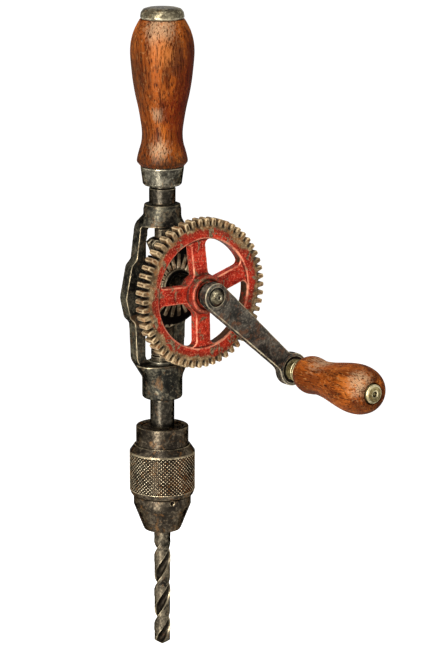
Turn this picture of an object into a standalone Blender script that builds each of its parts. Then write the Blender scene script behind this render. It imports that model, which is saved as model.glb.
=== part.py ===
"""Hand drill with an open spoked gear wheel, a side crank and a three-jaw chuck.

Metres, +Z up.  The drill stands upright with its bit pointing down.  The origin lies on the
spindle axis, inside the swell of the wooden handle where the hand holds the tool.
The crank turns about a Y axis through the axle centre, and its front faces -Y.
Every piece is drawn about the axle centre, and a pivot empty carries it to its place.
"""

from math import acos, asin, atan2, cos, hypot, pi, radians, sin, sqrt, tan

import bmesh
import bpy
from mathutils import Matrix, Vector

# Driving sizes of the whole tool
AXLE_DROP = 0.1320          # from the middle of the handle's swell down to the axle centre
FIT = 0.0003                # clearance between any two pieces that seat or run on each other
OVERRUN = 0.0020            # how far a cutter runs past the wall that it cuts
MERGE = 0.000001            # merge distance of turned shapes
EDGE = 0.0008               # chamfer on hubs, ferrules and the cap

# Casting: a flat loop with a collar at each end and a bridge across the middle
RAIL_FRONT = 0.0014         # the loop lies behind the spindle axis, from here
RAIL_DEPTH = 0.0070
RAIL_OUT = 0.0170           # half width over the rails
RAIL_OUT_LOW = 0.0182
BULGE_OUT = 0.0247          # half width over the thick middle of each rail
BULGE_TOP = 0.0146
BULGE_LOW = 0.0232
BULGE_MIDDLE = 0.0078
BULGE_STEP = 0.0036
WINDOW_HALF = 0.0103
WINDOW_HALF_LOW = 0.0108
ARCH_HALF = 0.0094          # the upper window draws in to this above the free pinion
ARCH_TAPER = 0.0035
WINDOW_UP = 0.0325          # axle centre to the underside of the arch
ARCH_LEDGE = 0.0008         # the top collar starts this far above the arch's underside
WINDOW_DOWN = 0.0478        # axle centre to the foot of the lower window
BRIDGE_HALF = 0.0082
WINDOW_CORNER = 0.0030
ARCH_CORNER = 0.0050
SILL_CORNER = 0.0055
SHOULDER_RISE = 0.0086      # the loop's shoulder climbs this far above the arch's underside
SHOULDER_NECK = 0.0058
SHOULDER_CORNER = 0.0070
LOOP_CORNER = 0.0025
FOOT_DROP = 0.0106          # the loop's foot runs this far below the sill
FOOT_NECK = 0.0080
CASTING_EDGE = 0.0011       # rounding of the loop's edges
TOP_COLLAR_R = 0.0110
TOP_COLLAR_LENGTH = 0.0128
BOTTOM_COLLAR_R = 0.0118
BOTTOM_COLLAR_LENGTH = 0.0199
BOTTOM_COLLAR_TOP = 0.0490
COLLAR_EDGE = 0.0014
YOKE_INSET = 0.0004         # the yokes lie this far inside the collars and the loop
TOP_YOKE_HALF = 0.0145      # half width of the oval foot of each yoke
LOW_YOKE_HALF = 0.0170
TOP_YOKE_LENGTH = 0.0075
LOW_YOKE_LENGTH = 0.0105
BOSS_R = 0.0088             # round boss on the bridge that carries the axle stud
BOSS_FRONT = 0.0040
STUD_SEAT = 0.0036          # spotface on the boss for the stud's flange
BOSS_BACK = 0.0112
PILOT_BOSS_R = 0.0052       # bosses above and below it that carry the spindle and the idler pin
PILOT_BOSS_END = 0.0142
PILOT_WALL = 0.0026         # metal between the stud's hole and the pilot holes

# Bevel gears: one driving gear and two equal pinions, with a shared pitch apex at the axle centre
MODULE = 0.00133
PINION_TEETH = 12
GEAR_TEETH = 36
PRESSURE_ANGLE = radians(20.0)
FACE_WIDTH = 0.0080
PINION_ADDENDUM = 0.00173
GEAR_ADDENDUM = 0.00093
TIP_CLEARANCE = 0.00027
BACKLASH = 0.00036
PINION_FLANK_SHARES = (0.0, 0.4, 0.7, 1.0)  # places up a tooth's flank, from root to tip
GEAR_FLANK_SHARES = (0.0, 1.0)
GEAR_WEB = 0.0018           # metal behind the roots of the driving gear's teeth
GEAR_RIBS = 22
GEAR_RIB_R = 0.0186
GEAR_RIB_RISE = 0.0028
GEAR_RIB_WIDTH = 0.0022
GEAR_RIB_REACH = 0.0090
GEAR_HUB_R = 0.0100
GEAR_HUB_FRONT = 0.0165

# Axle stack, measured forward from the axle centre
STUD_R = 0.0040
STUD_TAIL_R = 0.0034
STUD_FLANGE_R = 0.0070
STUD_FLANGE = 0.0015
SLEEVE_R = 0.0063
SPACER_R = 0.0080
NUT_HEIGHT = 0.0050
NUT_ACROSS = 0.0125
NUT_EDGE = 0.0006
WASHER_R = 0.0080
WASHER_THICK = 0.0014
STUD_TAIL_OUT = 0.0022      # stud showing past its nut

# Gear wheel
WHEEL_FRONT = 0.0400
WHEEL_WIDTH = 0.0070
WHEEL_R = 0.0435
WHEEL_TEETH = 54
WHEEL_TOOTH = 0.0040
WHEEL_RIM_DEPTH = 0.0120    # from the tips of the teeth in to the windows
WHEEL_HUB_R = 0.0110
WHEEL_HUB_FRONT = 0.0445
WHEEL_HUB_BACK = 0.0310
SPOKE_HALF = 0.0050
SPOKE_RECESS = 0.0008
SPOKE_CORNER = 0.0030
SPOKE_ANGLES = (radians(17.0), radians(97.0), radians(178.0), radians(271.0))  # as the picture has them
TOOTH_TIP_SHARE = 0.40      # width of a wheel tooth at its tip, as a share of the pitch there
TOOTH_ROOT_SHARE = 0.70
HUB_SHIFT_SHARE = 0.40      # keeps the hub's facets off the recess's

# Crank arm and its grip
CRANK_ANGLE = radians(41.6)  # the arm hangs this far below the +X axis at rest
CRANK_RADIUS = 0.0762
ARM_BACK = 0.0462
ARM_THICK = 0.0058
ARM_HUB_R = 0.0081
ARM_EYE_R = 0.0098
ARM_NARROW_HALF = 0.0059
ARM_EDGE = 0.0006
EYE_RECESS_R = 0.0080       # recess in the eye's face that the grip's ferrule runs in
EYE_RECESS = 0.0008
DOG_HEIGHT = 0.0025
DOG_WIDTH = 0.0056
SPOTFACE_R = 0.0057
SPOTFACE_DEEP = 0.0012
SCREW_R = 0.0024
SCREW_LENGTH = 0.0120
SCREW_HEAD_R = 0.0042
SCREW_HEAD = 0.0036
DOME_SHARES = ((1.0, 0.40), (0.93, 0.64), (0.75, 0.83), (0.45, 0.95))  # of head radius and height
ARM_LIP = 0.0027            # metal left in front of the stud for the screw to hold
GRIP_PIN_R = 0.0030
GRIP_PIN_HEAD_R = 0.0062
GRIP_PIN_HEAD = 0.0020
GRIP_FERRULE_R = 0.0063
GRIP_FERRULE_LENGTH = 0.0068
GRIP_FERRULE_LIP_R = 0.0072
GRIP_LENGTH = 0.0630
GRIP_SWELL_R = 0.0143
GRIP_END_BORE_R = 0.0064
GRIP_END_BORE = 0.0045
GRIP_NUT_R = 0.0056
GRIP_NUT_OUT = 0.0018
GRIP_NUT_SEAT = 0.0042

# Handle
COLLAR_THREAD_R = 0.0062
COLLAR_THREAD_DEEP = 0.0075
NECK_R = 0.0077
NECK_LENGTH = 0.0104
FERRULE_LENGTH = 0.0112
FERRULE_TOP_R = 0.0126
FERRULE_LOW_R = 0.0113
FERRULE_WALL = 0.0016
HANDLE_LENGTH = 0.0840
HANDLE_SWELL_R = 0.0184
TANG_R = 0.0039
CAP_R = 0.0127
CAP_HEIGHT = 0.0065
CAP_FLAT_R = 0.0090
CAP_EDGE = 0.0022
CAP_SPIGOT_R = 0.0065
CAP_SPIGOT = 0.0100

# Spindle, bush and idler pin
PIN_R = 0.0028              # journals in the pilot bosses
PINION_NECK_R = 0.0042      # spindle inside the long hub of its pinion
PINION_NECK_DROP = 0.0018   # below the back of the teeth
PINION_HUB_R = 0.0066
PINION_HUB_DROP = 0.0140
IDLER_HUB_R = 0.0046
PINION_BACK_R = 0.0072
PINION_BACK = 0.0014
JOURNAL_R = 0.0059
BUSH_R = 0.0080
SHAFT_R = 0.0071
SHAFT_LENGTH = 0.0168       # shown between the casting and the chuck
THRUST_R = 0.0080
THRUST_THICK = 0.0020
CROSS_PIN_R = 0.0011
IDLER_HEAD_R = 0.0048
IDLER_HEAD = 0.0018

# Chuck
CHUCK_BACK_R = 0.0154
CHUCK_BACK_LENGTH = 0.0110
CHUCK_CORE_R = 0.0166
CHUCK_RING_R = 0.0170
CHUCK_RING_LENGTH = 0.0057
CHUCK_NOSE_R = 0.0113
CHUCK_NOSE_LENGTH = 0.0160
CHUCK_EDGE = 0.0008
NOSE_EDGE = 0.0018
CHUCK_DISH_R = 0.0130       # shallow dish in the chuck's top face, where the spindle's shoulder seats
CHUCK_DISH = 0.0010
SLEEVE_OUT_R = 0.0193
SLEEVE_LENGTH = 0.0302
SLEEVE_TOP_SLOPE = 0.0042
SLEEVE_LOW_SLOPE = 0.0022
SLEEVE_TOP_LIP = 0.0028
SLEEVE_TOP_R = 0.0160
SLEEVE_LOW_R = 0.0182
KNURL_POINTS = 52           # diamond points round the sleeve, in staggered rows
KNURL_ROWS = 21
KNURL_DEEP = 0.0006
KNURL_TOP_BAND = 0.0010     # plain bands above and below the knurl
KNURL_LOW_BAND = 0.0010
CHUCK_THREAD_R = 0.0050
CHUCK_THREAD_DEEP = 0.0180
SOCKET_R = 0.0053
NUT_GROOVE_R = 0.0126
NUT_GROOVE_LENGTH = 0.0064
NUT_SLIT = 0.0004
JAWS = 3
JAW_R = 0.0026
JAW_SLANT = radians(12.5)
JAW_LENGTH = 0.0330
JAW_NOSE_OFFSET = 0.0054    # jaw axis to chuck axis at the nose
JAW_TURN = radians(-84.0)
KEY_HOLE_R = 0.0014
KEY_HOLE_DEEP = 0.0030
KEY_HOLE_TURN = radians(-106.0)
KEY_HOLE_DOWN = 0.0020      # below the top of the ring

# Twist bit
BIT_R = 0.0049
BIT_OUT = 0.0718            # from the chuck's nose to the tip
BIT_IN = 0.0260
BIT_PLAIN = 0.0070
BIT_RUN_OUT = 0.0080
BIT_LEAD = 0.0425
BIT_TIP_ANGLE = radians(59.0)
BIT_TIP_SHARES = (0.7, 0.45, 0.2)
BIT_STEPS = 24
FLUTE_R = 0.0031
FLUTE_OFFSET = 0.0049
FLUTE_STEPS = 3

# Side view of the turned woods: (share of the length, share of the largest radius)
HANDLE_SHARES = ((0.0, 0.700), (0.012, 0.745), (0.035, 0.800), (0.100, 0.735), (0.150, 0.668),
                 (0.200, 0.640), (0.250, 0.645), (0.320, 0.690), (0.400, 0.755), (0.480, 0.838),
                 (0.560, 0.905), (0.640, 0.952), (0.740, 0.995), (0.800, 1.000), (0.860, 0.968),
                 (0.920, 0.890), (0.970, 0.780), (1.0, 0.700))
GRIP_SHARES = ((0.0, 0.480), (0.020, 0.590), (0.070, 0.710), (0.130, 0.770), (0.190, 0.755),
               (0.260, 0.712), (0.330, 0.718), (0.430, 0.770), (0.550, 0.870), (0.670, 0.962),
               (0.770, 1.000), (0.860, 0.965), (0.930, 0.865), (0.975, 0.740), (1.0, 0.620))

# Facets round a full turn
TURN_LARGE = 32
TURN_MIDDLE = 28
TURN_SMALL = 16
TURN_TINY = 8
ARC_STEPS = 3


for old in list(bpy.data.objects):
    bpy.data.objects.remove(old, do_unlink=True)


def finish(name, colour, roughness, metallic):
    """A plain material with the piece's main colour."""
    material = bpy.data.materials.new(name)
    material.use_nodes = True
    shader = material.node_tree.nodes["Principled BSDF"]
    shader.inputs["Base Color"].default_value = (*colour, 1.0)
    shader.inputs["Roughness"].default_value = roughness
    shader.inputs["Metallic"].default_value = metallic
    return material


CAST = finish("blackened casting", (0.060, 0.062, 0.058), 0.55, 0.75)
STEEL = finish("worn steel", (0.165, 0.145, 0.118), 0.42, 0.90)
DARK_STEEL = finish("dark steel", (0.085, 0.078, 0.066), 0.45, 0.85)
RED = finish("red enamel", (0.420, 0.030, 0.018), 0.45, 0.10)
WOOD = finish("varnished hardwood", (0.300, 0.100, 0.030), 0.35, 0.0)
BRASS = finish("old brass", (0.360, 0.290, 0.150), 0.40, 0.90)
BRONZE = finish("bearing bronze", (0.330, 0.200, 0.090), 0.45, 0.90)


def object_from(name, bm, material):
    """Close a bmesh into a named, smooth-shaded object with its faces outwards."""
    bmesh.ops.recalc_face_normals(bm, faces=bm.faces)
    mesh = bpy.data.meshes.new(name)
    bm.to_mesh(mesh)
    bm.free()
    mesh.shade_smooth()
    mesh.set_sharp_from_angle(angle=radians(32.0))
    mesh.materials.append(material)
    obj = bpy.data.objects.new(name, mesh)
    bpy.context.scene.collection.objects.link(obj)
    return obj


def turned(profile, steps, shift=0.0):
    """Spin a closed side view of (radius, height) points about Z.

    The shift, a share of one facet, keeps a tool's edges off the edges of what it meets.
    """
    bm = bmesh.new()
    verts = [bm.verts.new((r, 0.0, z)) for r, z in profile]
    edges = [bm.edges.new((verts[i - 1], verts[i])) for i in range(len(verts))
             if not (profile[i - 1][0] == 0.0 and profile[i][0] == 0.0)]
    bmesh.ops.spin(bm, geom=verts + edges, cent=(0.0, 0.0, 0.0), axis=(0.0, 0.0, 1.0),
                   angle=2.0 * pi, steps=steps, use_merge=True)
    bmesh.ops.remove_doubles(bm, verts=bm.verts, dist=MERGE)
    bmesh.ops.rotate(bm, verts=bm.verts, matrix=Matrix.Rotation(2.0 * pi * shift / steps, 3, "Z"))
    return bm


def rod(radius, low, high):
    """Side view of a plain cylinder."""
    return [(0.0, low), (radius, low), (radius, high), (0.0, high)]


def tube(inner, outer, low, high):
    """Side view of a plain ring or tube."""
    return [(inner, low), (outer, low), (outer, high), (inner, high)]


def forward(bm):
    """Lay a shape turned about Z onto the axle: its +Z becomes the drill's front, -Y."""
    bmesh.ops.transform(bm, matrix=Matrix.Rotation(radians(90.0), 4, "X"), verts=bm.verts)
    return bm


def moved(bm, matrix):
    bmesh.ops.transform(bm, matrix=matrix, verts=bm.verts)
    return bm


def rounded(corners):
    """Outline through (x, z, corner radius) points, with each corner turned as an arc."""
    points = []
    for i, (x, z, radius) in enumerate(corners):
        here = Vector((x, z))
        before = Vector(corners[i - 1][:2]) - here
        after = Vector(corners[(i + 1) % len(corners)][:2]) - here
        half = before.angle(after) / 2.0
        if radius == 0.0 or half > radians(88.0):
            points.append((x, z))
            continue
        reach = min(radius / tan(half), before.length / 2.0, after.length / 2.0)
        true_radius = reach * tan(half)
        centre = here + (before.normalized() + after.normalized()).normalized() * (true_radius / sin(half))
        start = here + before.normalized() * reach - centre
        sweep = (here + after.normalized() * reach - centre).angle_signed(start)
        for step in range(ARC_STEPS + 1):
            turn = Matrix.Rotation(sweep * step / ARC_STEPS, 2)
            points.append(tuple(centre + turn @ start))
    return points


def mirrored(half):
    """Close a right-hand half outline, given from top to bottom, with its mirror image."""
    return half + [(-x, z, radius) for x, z, radius in reversed(half)]


def plate(outlines, front, back):
    """Extrude an outline of (x, z) points, with any windows in it, from y = front to y = back."""
    bm = bmesh.new()
    edges = []
    for outline in outlines:
        verts = [bm.verts.new((x, front, z)) for x, z in outline]
        edges += [bm.edges.new((verts[i - 1], verts[i])) for i in range(len(verts))]
    bmesh.ops.triangle_fill(bm, use_beauty=True, use_dissolve=False, edges=edges)
    made = bmesh.ops.extrude_face_region(bm, geom=list(bm.faces))
    bmesh.ops.translate(bm, vec=(0.0, back - front, 0.0),
                        verts=[v for v in made["geom"] if isinstance(v, bmesh.types.BMVert)])
    return bm


def box(x, y, z):
    """A block between two values on each axis."""
    bm = bmesh.new()
    bmesh.ops.create_cube(bm, size=1.0)
    size = Matrix.Diagonal((x[1] - x[0], y[1] - y[0], z[1] - z[0], 1.0))
    middle = Matrix.Translation(((x[0] + x[1]) / 2.0, (y[0] + y[1]) / 2.0, (z[0] + z[1]) / 2.0))
    return moved(bm, middle @ size)


def hull(points):
    """The convex solid round a set of points."""
    bm = bmesh.new()
    verts = [bm.verts.new(p) for p in points]
    made = bmesh.ops.convex_hull(bm, input=verts)
    spare = {v for v in made["geom_interior"] + made["geom_unused"] if isinstance(v, bmesh.types.BMVert)}
    bmesh.ops.delete(bm, geom=list(spare), context="VERTS")
    return bm


def oval_points(half_x, half_y, z, steps):
    return [(half_x * cos(2.0 * pi * i / steps), half_y * sin(2.0 * pi * i / steps), z) for i in range(steps)]


def shaped(obj, operation, bm):
    """Join a shape to an object, or cut it out, with a hidden wire tool and a live Boolean."""
    number = len(obj.modifiers)
    tool = object_from(f"{obj.name}_tool_{number}", bm, obj.data.materials[0])
    tool.hide_render = True
    tool.display_type = "WIRE"
    tool.parent = obj
    modifier = obj.modifiers.new(f"{operation.lower()} {number}", "BOOLEAN")
    modifier.operation = operation
    modifier.solver = "EXACT"
    modifier.object = tool


def joined(obj, bm):
    shaped(obj, "UNION", bm)


def cut(obj, bm):
    shaped(obj, "DIFFERENCE", bm)


def softened(obj, width, angle=radians(50.0)):
    """Round an object's sharp edges."""
    bevel = obj.modifiers.new("edges", "BEVEL")
    bevel.width = width
    bevel.segments = 1
    bevel.limit_method = "ANGLE"
    bevel.angle_limit = angle


def pivot(name, location, parent=None):
    """An empty on a joint's axis that carries the pieces of one moving body."""
    empty = bpy.data.objects.new(name, None)
    empty.empty_display_size = STUD_R
    empty.location = location
    empty.parent = parent
    bpy.context.scene.collection.objects.link(empty)
    return empty


AXLE = pivot("axle_centre", (0.0, 0.0, -AXLE_DROP))


def put(obj, parent=AXLE):
    obj.parent = parent
    return obj


# Places worked out from the sizes above, as distances from the axle centre
TOP_COLLAR_LOW = WINDOW_UP + ARCH_LEDGE
TOP_COLLAR_TOP = TOP_COLLAR_LOW + TOP_COLLAR_LENGTH
BOTTOM_COLLAR_LOW = BOTTOM_COLLAR_TOP + BOTTOM_COLLAR_LENGTH
RAIL_BACK = RAIL_FRONT + RAIL_DEPTH
THREAD_FLOOR = TOP_COLLAR_TOP - COLLAR_THREAD_DEEP
HEAD_FLOOR = THREAD_FLOOR - IDLER_HEAD - FIT
PILOT_END = STUD_TAIL_R + 2.0 * FIT + PILOT_WALL
PINION_R = MODULE * PINION_TEETH / 2.0
GEAR_R = MODULE * GEAR_TEETH / 2.0
CONE_LENGTH = hypot(PINION_R, GEAR_R)
TOE_SHARE = (CONE_LENGTH - FACE_WIDTH) / CONE_LENGTH
WHEEL_RIM_R = WHEEL_R - WHEEL_RIM_DEPTH


def make_frame():
    """One casting: loop, bridge, bosses, yokes and the two collars on the spindle axis."""
    shoulder = WINDOW_UP + SHOULDER_RISE
    foot = WINDOW_DOWN + FOOT_DROP
    taper = PINION_SIDE[0][1] + FIT
    outside = rounded(mirrored([
        (SHOULDER_NECK, shoulder, LOOP_CORNER),
        (RAIL_OUT - SHOULDER_NECK / 2.0, WINDOW_UP + LOOP_CORNER, SHOULDER_CORNER),
        (RAIL_OUT, BULGE_TOP, LOOP_CORNER),
        (RAIL_OUT + BULGE_STEP, BULGE_TOP - BULGE_STEP, LOOP_CORNER),
        (BULGE_OUT, -BULGE_MIDDLE, SHOULDER_CORNER),
        (RAIL_OUT_LOW + BULGE_STEP, BULGE_STEP - BULGE_LOW, LOOP_CORNER),
        (RAIL_OUT_LOW, -BULGE_LOW, LOOP_CORNER),
        (RAIL_OUT, LOOP_CORNER - WINDOW_DOWN, SHOULDER_CORNER),
        (FOOT_NECK, -foot, LOOP_CORNER),
    ]))
    upper = rounded(mirrored([
        (ARCH_HALF, WINDOW_UP, ARCH_CORNER),
        (ARCH_HALF, taper + ARCH_TAPER, LOOP_CORNER),
        (WINDOW_HALF, taper, LOOP_CORNER),
        (WINDOW_HALF, BRIDGE_HALF, WINDOW_CORNER),
    ]))
    lower = rounded(mirrored([
        (WINDOW_HALF_LOW, -BRIDGE_HALF, WINDOW_CORNER),
        (WINDOW_HALF_LOW, -WINDOW_DOWN, SILL_CORNER),
    ]))
    frame = put(object_from("frame", plate((outside, upper, lower), RAIL_FRONT, RAIL_BACK), CAST))
    softened(frame, CASTING_EDGE)

    inset = YOKE_INSET
    for collar_r, half, near, far in (
            (TOP_COLLAR_R, TOP_YOKE_HALF, TOP_COLLAR_LOW + inset, TOP_COLLAR_LOW + TOP_YOKE_LENGTH),
            (BOTTOM_COLLAR_R, LOW_YOKE_HALF, -WINDOW_DOWN - inset, -WINDOW_DOWN - LOW_YOKE_LENGTH)):
        radius = collar_r - inset
        foot = oval_points(half, radius, near, TURN_SMALL)
        joined(frame, hull(foot + oval_points(radius, radius, far, TURN_SMALL)))

    joined(frame, turned([(0.0, TOP_COLLAR_LOW), (TOP_COLLAR_R - inset, TOP_COLLAR_LOW),
                          (TOP_COLLAR_R, TOP_COLLAR_LOW + inset),
                          (TOP_COLLAR_R, TOP_COLLAR_TOP - COLLAR_EDGE),
                          (TOP_COLLAR_R - inset, TOP_COLLAR_TOP - inset),
                          (TOP_COLLAR_R - COLLAR_EDGE, TOP_COLLAR_TOP), (0.0, TOP_COLLAR_TOP)], TURN_MIDDLE))
    joined(frame, turned([(0.0, -BOTTOM_COLLAR_TOP), (BOTTOM_COLLAR_R - inset, -BOTTOM_COLLAR_TOP),
                          (BOTTOM_COLLAR_R, -BOTTOM_COLLAR_TOP - inset),
                          (BOTTOM_COLLAR_R, -BOTTOM_COLLAR_LOW + COLLAR_EDGE),
                          (BOTTOM_COLLAR_R - COLLAR_EDGE, -BOTTOM_COLLAR_LOW),
                          (0.0, -BOTTOM_COLLAR_LOW)], TURN_MIDDLE))
    joined(frame, forward(turned(rod(BOSS_R, -BOSS_BACK, BOSS_FRONT), TURN_MIDDLE)))
    joined(frame, turned(rod(PILOT_BOSS_R, -PILOT_BOSS_END, PILOT_BOSS_END), TURN_SMALL))

    cut(frame, turned(rod(COLLAR_THREAD_R + FIT, THREAD_FLOOR, TOP_COLLAR_TOP + OVERRUN), TURN_SMALL))
    cut(frame, turned(rod(IDLER_HEAD_R + FIT, HEAD_FLOOR, THREAD_FLOOR + OVERRUN), TURN_SMALL))
    cut(frame, turned(rod(PIN_R + FIT, PILOT_END, HEAD_FLOOR + OVERRUN), TURN_SMALL))
    cut(frame, turned(rod(PIN_R + FIT, -PILOT_BOSS_END - OVERRUN, -PILOT_END), TURN_SMALL))
    stud_hole = rod(STUD_TAIL_R + FIT, -BOSS_BACK - OVERRUN, BOSS_FRONT + OVERRUN)
    bush_hole = rod(BUSH_R + FIT, -BOTTOM_COLLAR_LOW - OVERRUN, -BOTTOM_COLLAR_TOP + OVERRUN)
    cut(frame, forward(turned(stud_hole, TURN_SMALL)))
    cut(frame, forward(turned(rod(STUD_FLANGE_R + FIT, STUD_SEAT, PILOT_BOSS_R + OVERRUN), TURN_MIDDLE)))
    cut(frame, turned(bush_hole, TURN_MIDDLE))
    return frame


def make_handle():
    """Rod screwed into the top collar, ferrule, bored hardwood grip and the cap that clamps it."""
    neck_low = TOP_COLLAR_TOP + FIT
    neck_top = neck_low + NECK_LENGTH
    ferrule_low = neck_top + FIT
    ferrule_top = ferrule_low + FERRULE_LENGTH
    wood_low = ferrule_top + FIT
    wood_top = wood_low + HANDLE_LENGTH
    cap_low = wood_top + FIT
    cap_top = cap_low + CAP_HEIGHT
    tang_top = cap_low + CAP_EDGE
    tenon_r = FERRULE_LOW_R - FERRULE_WALL - FIT

    put(object_from("handle_rod", turned([
        (0.0, THREAD_FLOOR + FIT), (COLLAR_THREAD_R, THREAD_FLOOR + FIT), (COLLAR_THREAD_R, neck_low),
        (NECK_R, neck_low), (NECK_R, neck_top), (TANG_R, neck_top), (TANG_R, tang_top),
        (0.0, tang_top)], TURN_SMALL), STEEL))

    put(object_from("handle_ferrule", turned([
        (TANG_R + FIT, ferrule_low), (FERRULE_LOW_R - EDGE, ferrule_low),
        (FERRULE_LOW_R, ferrule_low + EDGE), (FERRULE_TOP_R, ferrule_top - EDGE),
        (FERRULE_TOP_R - EDGE, ferrule_top), (FERRULE_LOW_R - FERRULE_WALL, ferrule_top),
        (FERRULE_LOW_R - FERRULE_WALL, ferrule_low + FERRULE_WALL),
        (TANG_R + FIT, ferrule_low + FERRULE_WALL)], TURN_MIDDLE), STEEL))

    side = [(radius * HANDLE_SWELL_R, wood_low + along * HANDLE_LENGTH) for along, radius in HANDLE_SHARES]
    spigot_floor = cap_low - CAP_SPIGOT - FIT
    put(object_from("handle_grip", turned(
        [(TANG_R + FIT, ferrule_low + FERRULE_WALL + FIT), (tenon_r, ferrule_low + FERRULE_WALL + FIT),
         (tenon_r, wood_low)] + side
        + [(CAP_SPIGOT_R + FIT, wood_top), (CAP_SPIGOT_R + FIT, spigot_floor),
           (TANG_R + FIT, spigot_floor)], TURN_LARGE), WOOD))

    put(object_from("handle_cap", turned([
        (TANG_R + FIT, cap_low - CAP_SPIGOT), (CAP_SPIGOT_R, cap_low - CAP_SPIGOT), (CAP_SPIGOT_R, cap_low),
        (CAP_R - EDGE, cap_low), (CAP_R, cap_low + EDGE), (CAP_R, cap_top - CAP_EDGE),
        (CAP_R - CAP_EDGE / 2.0, cap_top - CAP_EDGE / 4.0), (CAP_FLAT_R, cap_top), (0.0, cap_top),
        (0.0, tang_top + FIT), (TANG_R + FIT, tang_top + FIT)], TURN_MIDDLE), STEEL))


def make_axle():
    """Fixed stud across the bridge, held at the back by a washer and a six-sided nut."""
    flange_back = STUD_SEAT + FIT
    stud_end = ARM_BACK + ARM_THICK - SPOTFACE_DEEP - ARM_LIP - FIT
    washer_front = BOSS_BACK + FIT
    nut_front = washer_front + WASHER_THICK + FIT
    tail = nut_front + NUT_HEIGHT + STUD_TAIL_OUT
    hole_floor = stud_end - SCREW_LENGTH
    put(object_from("axle_stud", forward(turned([
        (0.0, -tail), (STUD_TAIL_R, -tail), (STUD_TAIL_R, flange_back), (STUD_FLANGE_R, flange_back),
        (STUD_FLANGE_R, flange_back + STUD_FLANGE), (STUD_R, flange_back + STUD_FLANGE), (STUD_R, stud_end),
        (SCREW_R + FIT, stud_end), (SCREW_R + FIT, hole_floor), (0.0, hole_floor)], TURN_SMALL)), STEEL))
    put(object_from("axle_washer", forward(turned(
        tube(STUD_TAIL_R + FIT, WASHER_R, -washer_front - WASHER_THICK, -washer_front), TURN_SMALL)), STEEL))
    across = NUT_ACROSS / 2.0 / cos(pi / 6.0)
    nut = put(object_from("axle_nut", forward(turned(
        rod(across, -nut_front - NUT_HEIGHT, -nut_front), 6)), STEEL))
    softened(nut, NUT_EDGE, radians(70.0))
    cut(nut, forward(turned(rod(STUD_TAIL_R + FIT, -nut_front - NUT_HEIGHT - OVERRUN, OVERRUN - nut_front),
                            TURN_SMALL)))

    head_back = ARM_BACK + ARM_THICK - SPOTFACE_DEEP + FIT
    head_front = head_back + SCREW_HEAD
    put(object_from("crank_screw", forward(turned([
        (0.0, hole_floor + FIT), (SCREW_R, hole_floor + FIT), (SCREW_R, head_back), (SCREW_HEAD_R, head_back)]
        + [(SCREW_HEAD_R * across_share, head_back + SCREW_HEAD * up_share)
           for across_share, up_share in DOME_SHARES] + [(0.0, head_front)], TURN_SMALL)), STEEL))


def involute(angle):
    return tan(angle) - angle


def tooth_side(teeth, mate, addendum, dedendum, thickness, shares):
    """Half a bevel tooth at its wide end: (radius, height, angle) from the root to the tip.

    The tooth is an involute on the developed back cone, folded back onto the cone.
    """
    pitch_r = MODULE * teeth / 2.0
    slant = atan2(teeth, mate)
    flat_r = pitch_r / cos(slant)
    base_r = flat_r * cos(PRESSURE_ANGLE)
    low = flat_r - dedendum
    side = []
    for share in shares:
        rho = low + share * (dedendum + addendum)
        pressure = 0.0 if rho <= base_r else atan2(sqrt(rho * rho - base_r * base_r), base_r)
        half = thickness / 2.0 / flat_r + involute(PRESSURE_ANGLE) - involute(pressure)
        side.append((pitch_r + (rho - flat_r) * cos(slant),
                     MODULE * mate / 2.0 - (rho - flat_r) * sin(slant), half / cos(slant)))
    return side


def bevel_body(teeth, side, back_r, back, phase):
    """Closed solid with straight bevel teeth about +Z, its pitch apex at the centre."""
    bm = bmesh.new()
    ring = []
    for tooth in range(teeth):
        middle = phase + 2.0 * pi * tooth / teeth
        ring += [(r, z, middle - a) for r, z, a in side] + [(r, z, middle + a) for r, z, a in reversed(side)]
    heel = [bm.verts.new((r * cos(a), r * sin(a), z)) for r, z, a in ring]
    toe = [bm.verts.new(v.co * TOE_SHARE) for v in heel]
    floor_r, floor = side[0][0] * TOE_SHARE - YOKE_INSET, side[0][1] * TOE_SHARE
    inner = [bm.verts.new((floor_r * cos(a), floor_r * sin(a), floor)) for r, z, a in ring]
    rear = [bm.verts.new((back_r * cos(a), back_r * sin(a), side[0][1] + back)) for r, z, a in ring]
    toe_centre = bm.verts.new((0.0, 0.0, floor))
    rear_centre = bm.verts.new((0.0, 0.0, side[0][1] + back))
    for i in range(len(ring)):
        bm.faces.new((toe[i - 1], toe[i], heel[i], heel[i - 1]))
        bm.faces.new((heel[i - 1], heel[i], rear[i], rear[i - 1]))
        bm.faces.new((inner[i - 1], inner[i], toe[i], toe[i - 1]))
        bm.faces.new((inner[i], inner[i - 1], toe_centre))
        bm.faces.new((rear[i - 1], rear[i], rear_centre))
    return bm


PITCH_THICKNESS = pi * MODULE / 2.0
TOOTH_SHIFT = (PINION_ADDENDUM - GEAR_ADDENDUM) * tan(PRESSURE_ANGLE)
PINION_SIDE = tooth_side(PINION_TEETH, GEAR_TEETH, PINION_ADDENDUM, GEAR_ADDENDUM + TIP_CLEARANCE,
                         PITCH_THICKNESS + TOOTH_SHIFT - BACKLASH / 2.0, PINION_FLANK_SHARES)
GEAR_SIDE = tooth_side(GEAR_TEETH, PINION_TEETH, GEAR_ADDENDUM, PINION_ADDENDUM + TIP_CLEARANCE,
                       PITCH_THICKNESS - TOOTH_SHIFT - BACKLASH / 2.0, GEAR_FLANK_SHARES)


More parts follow.
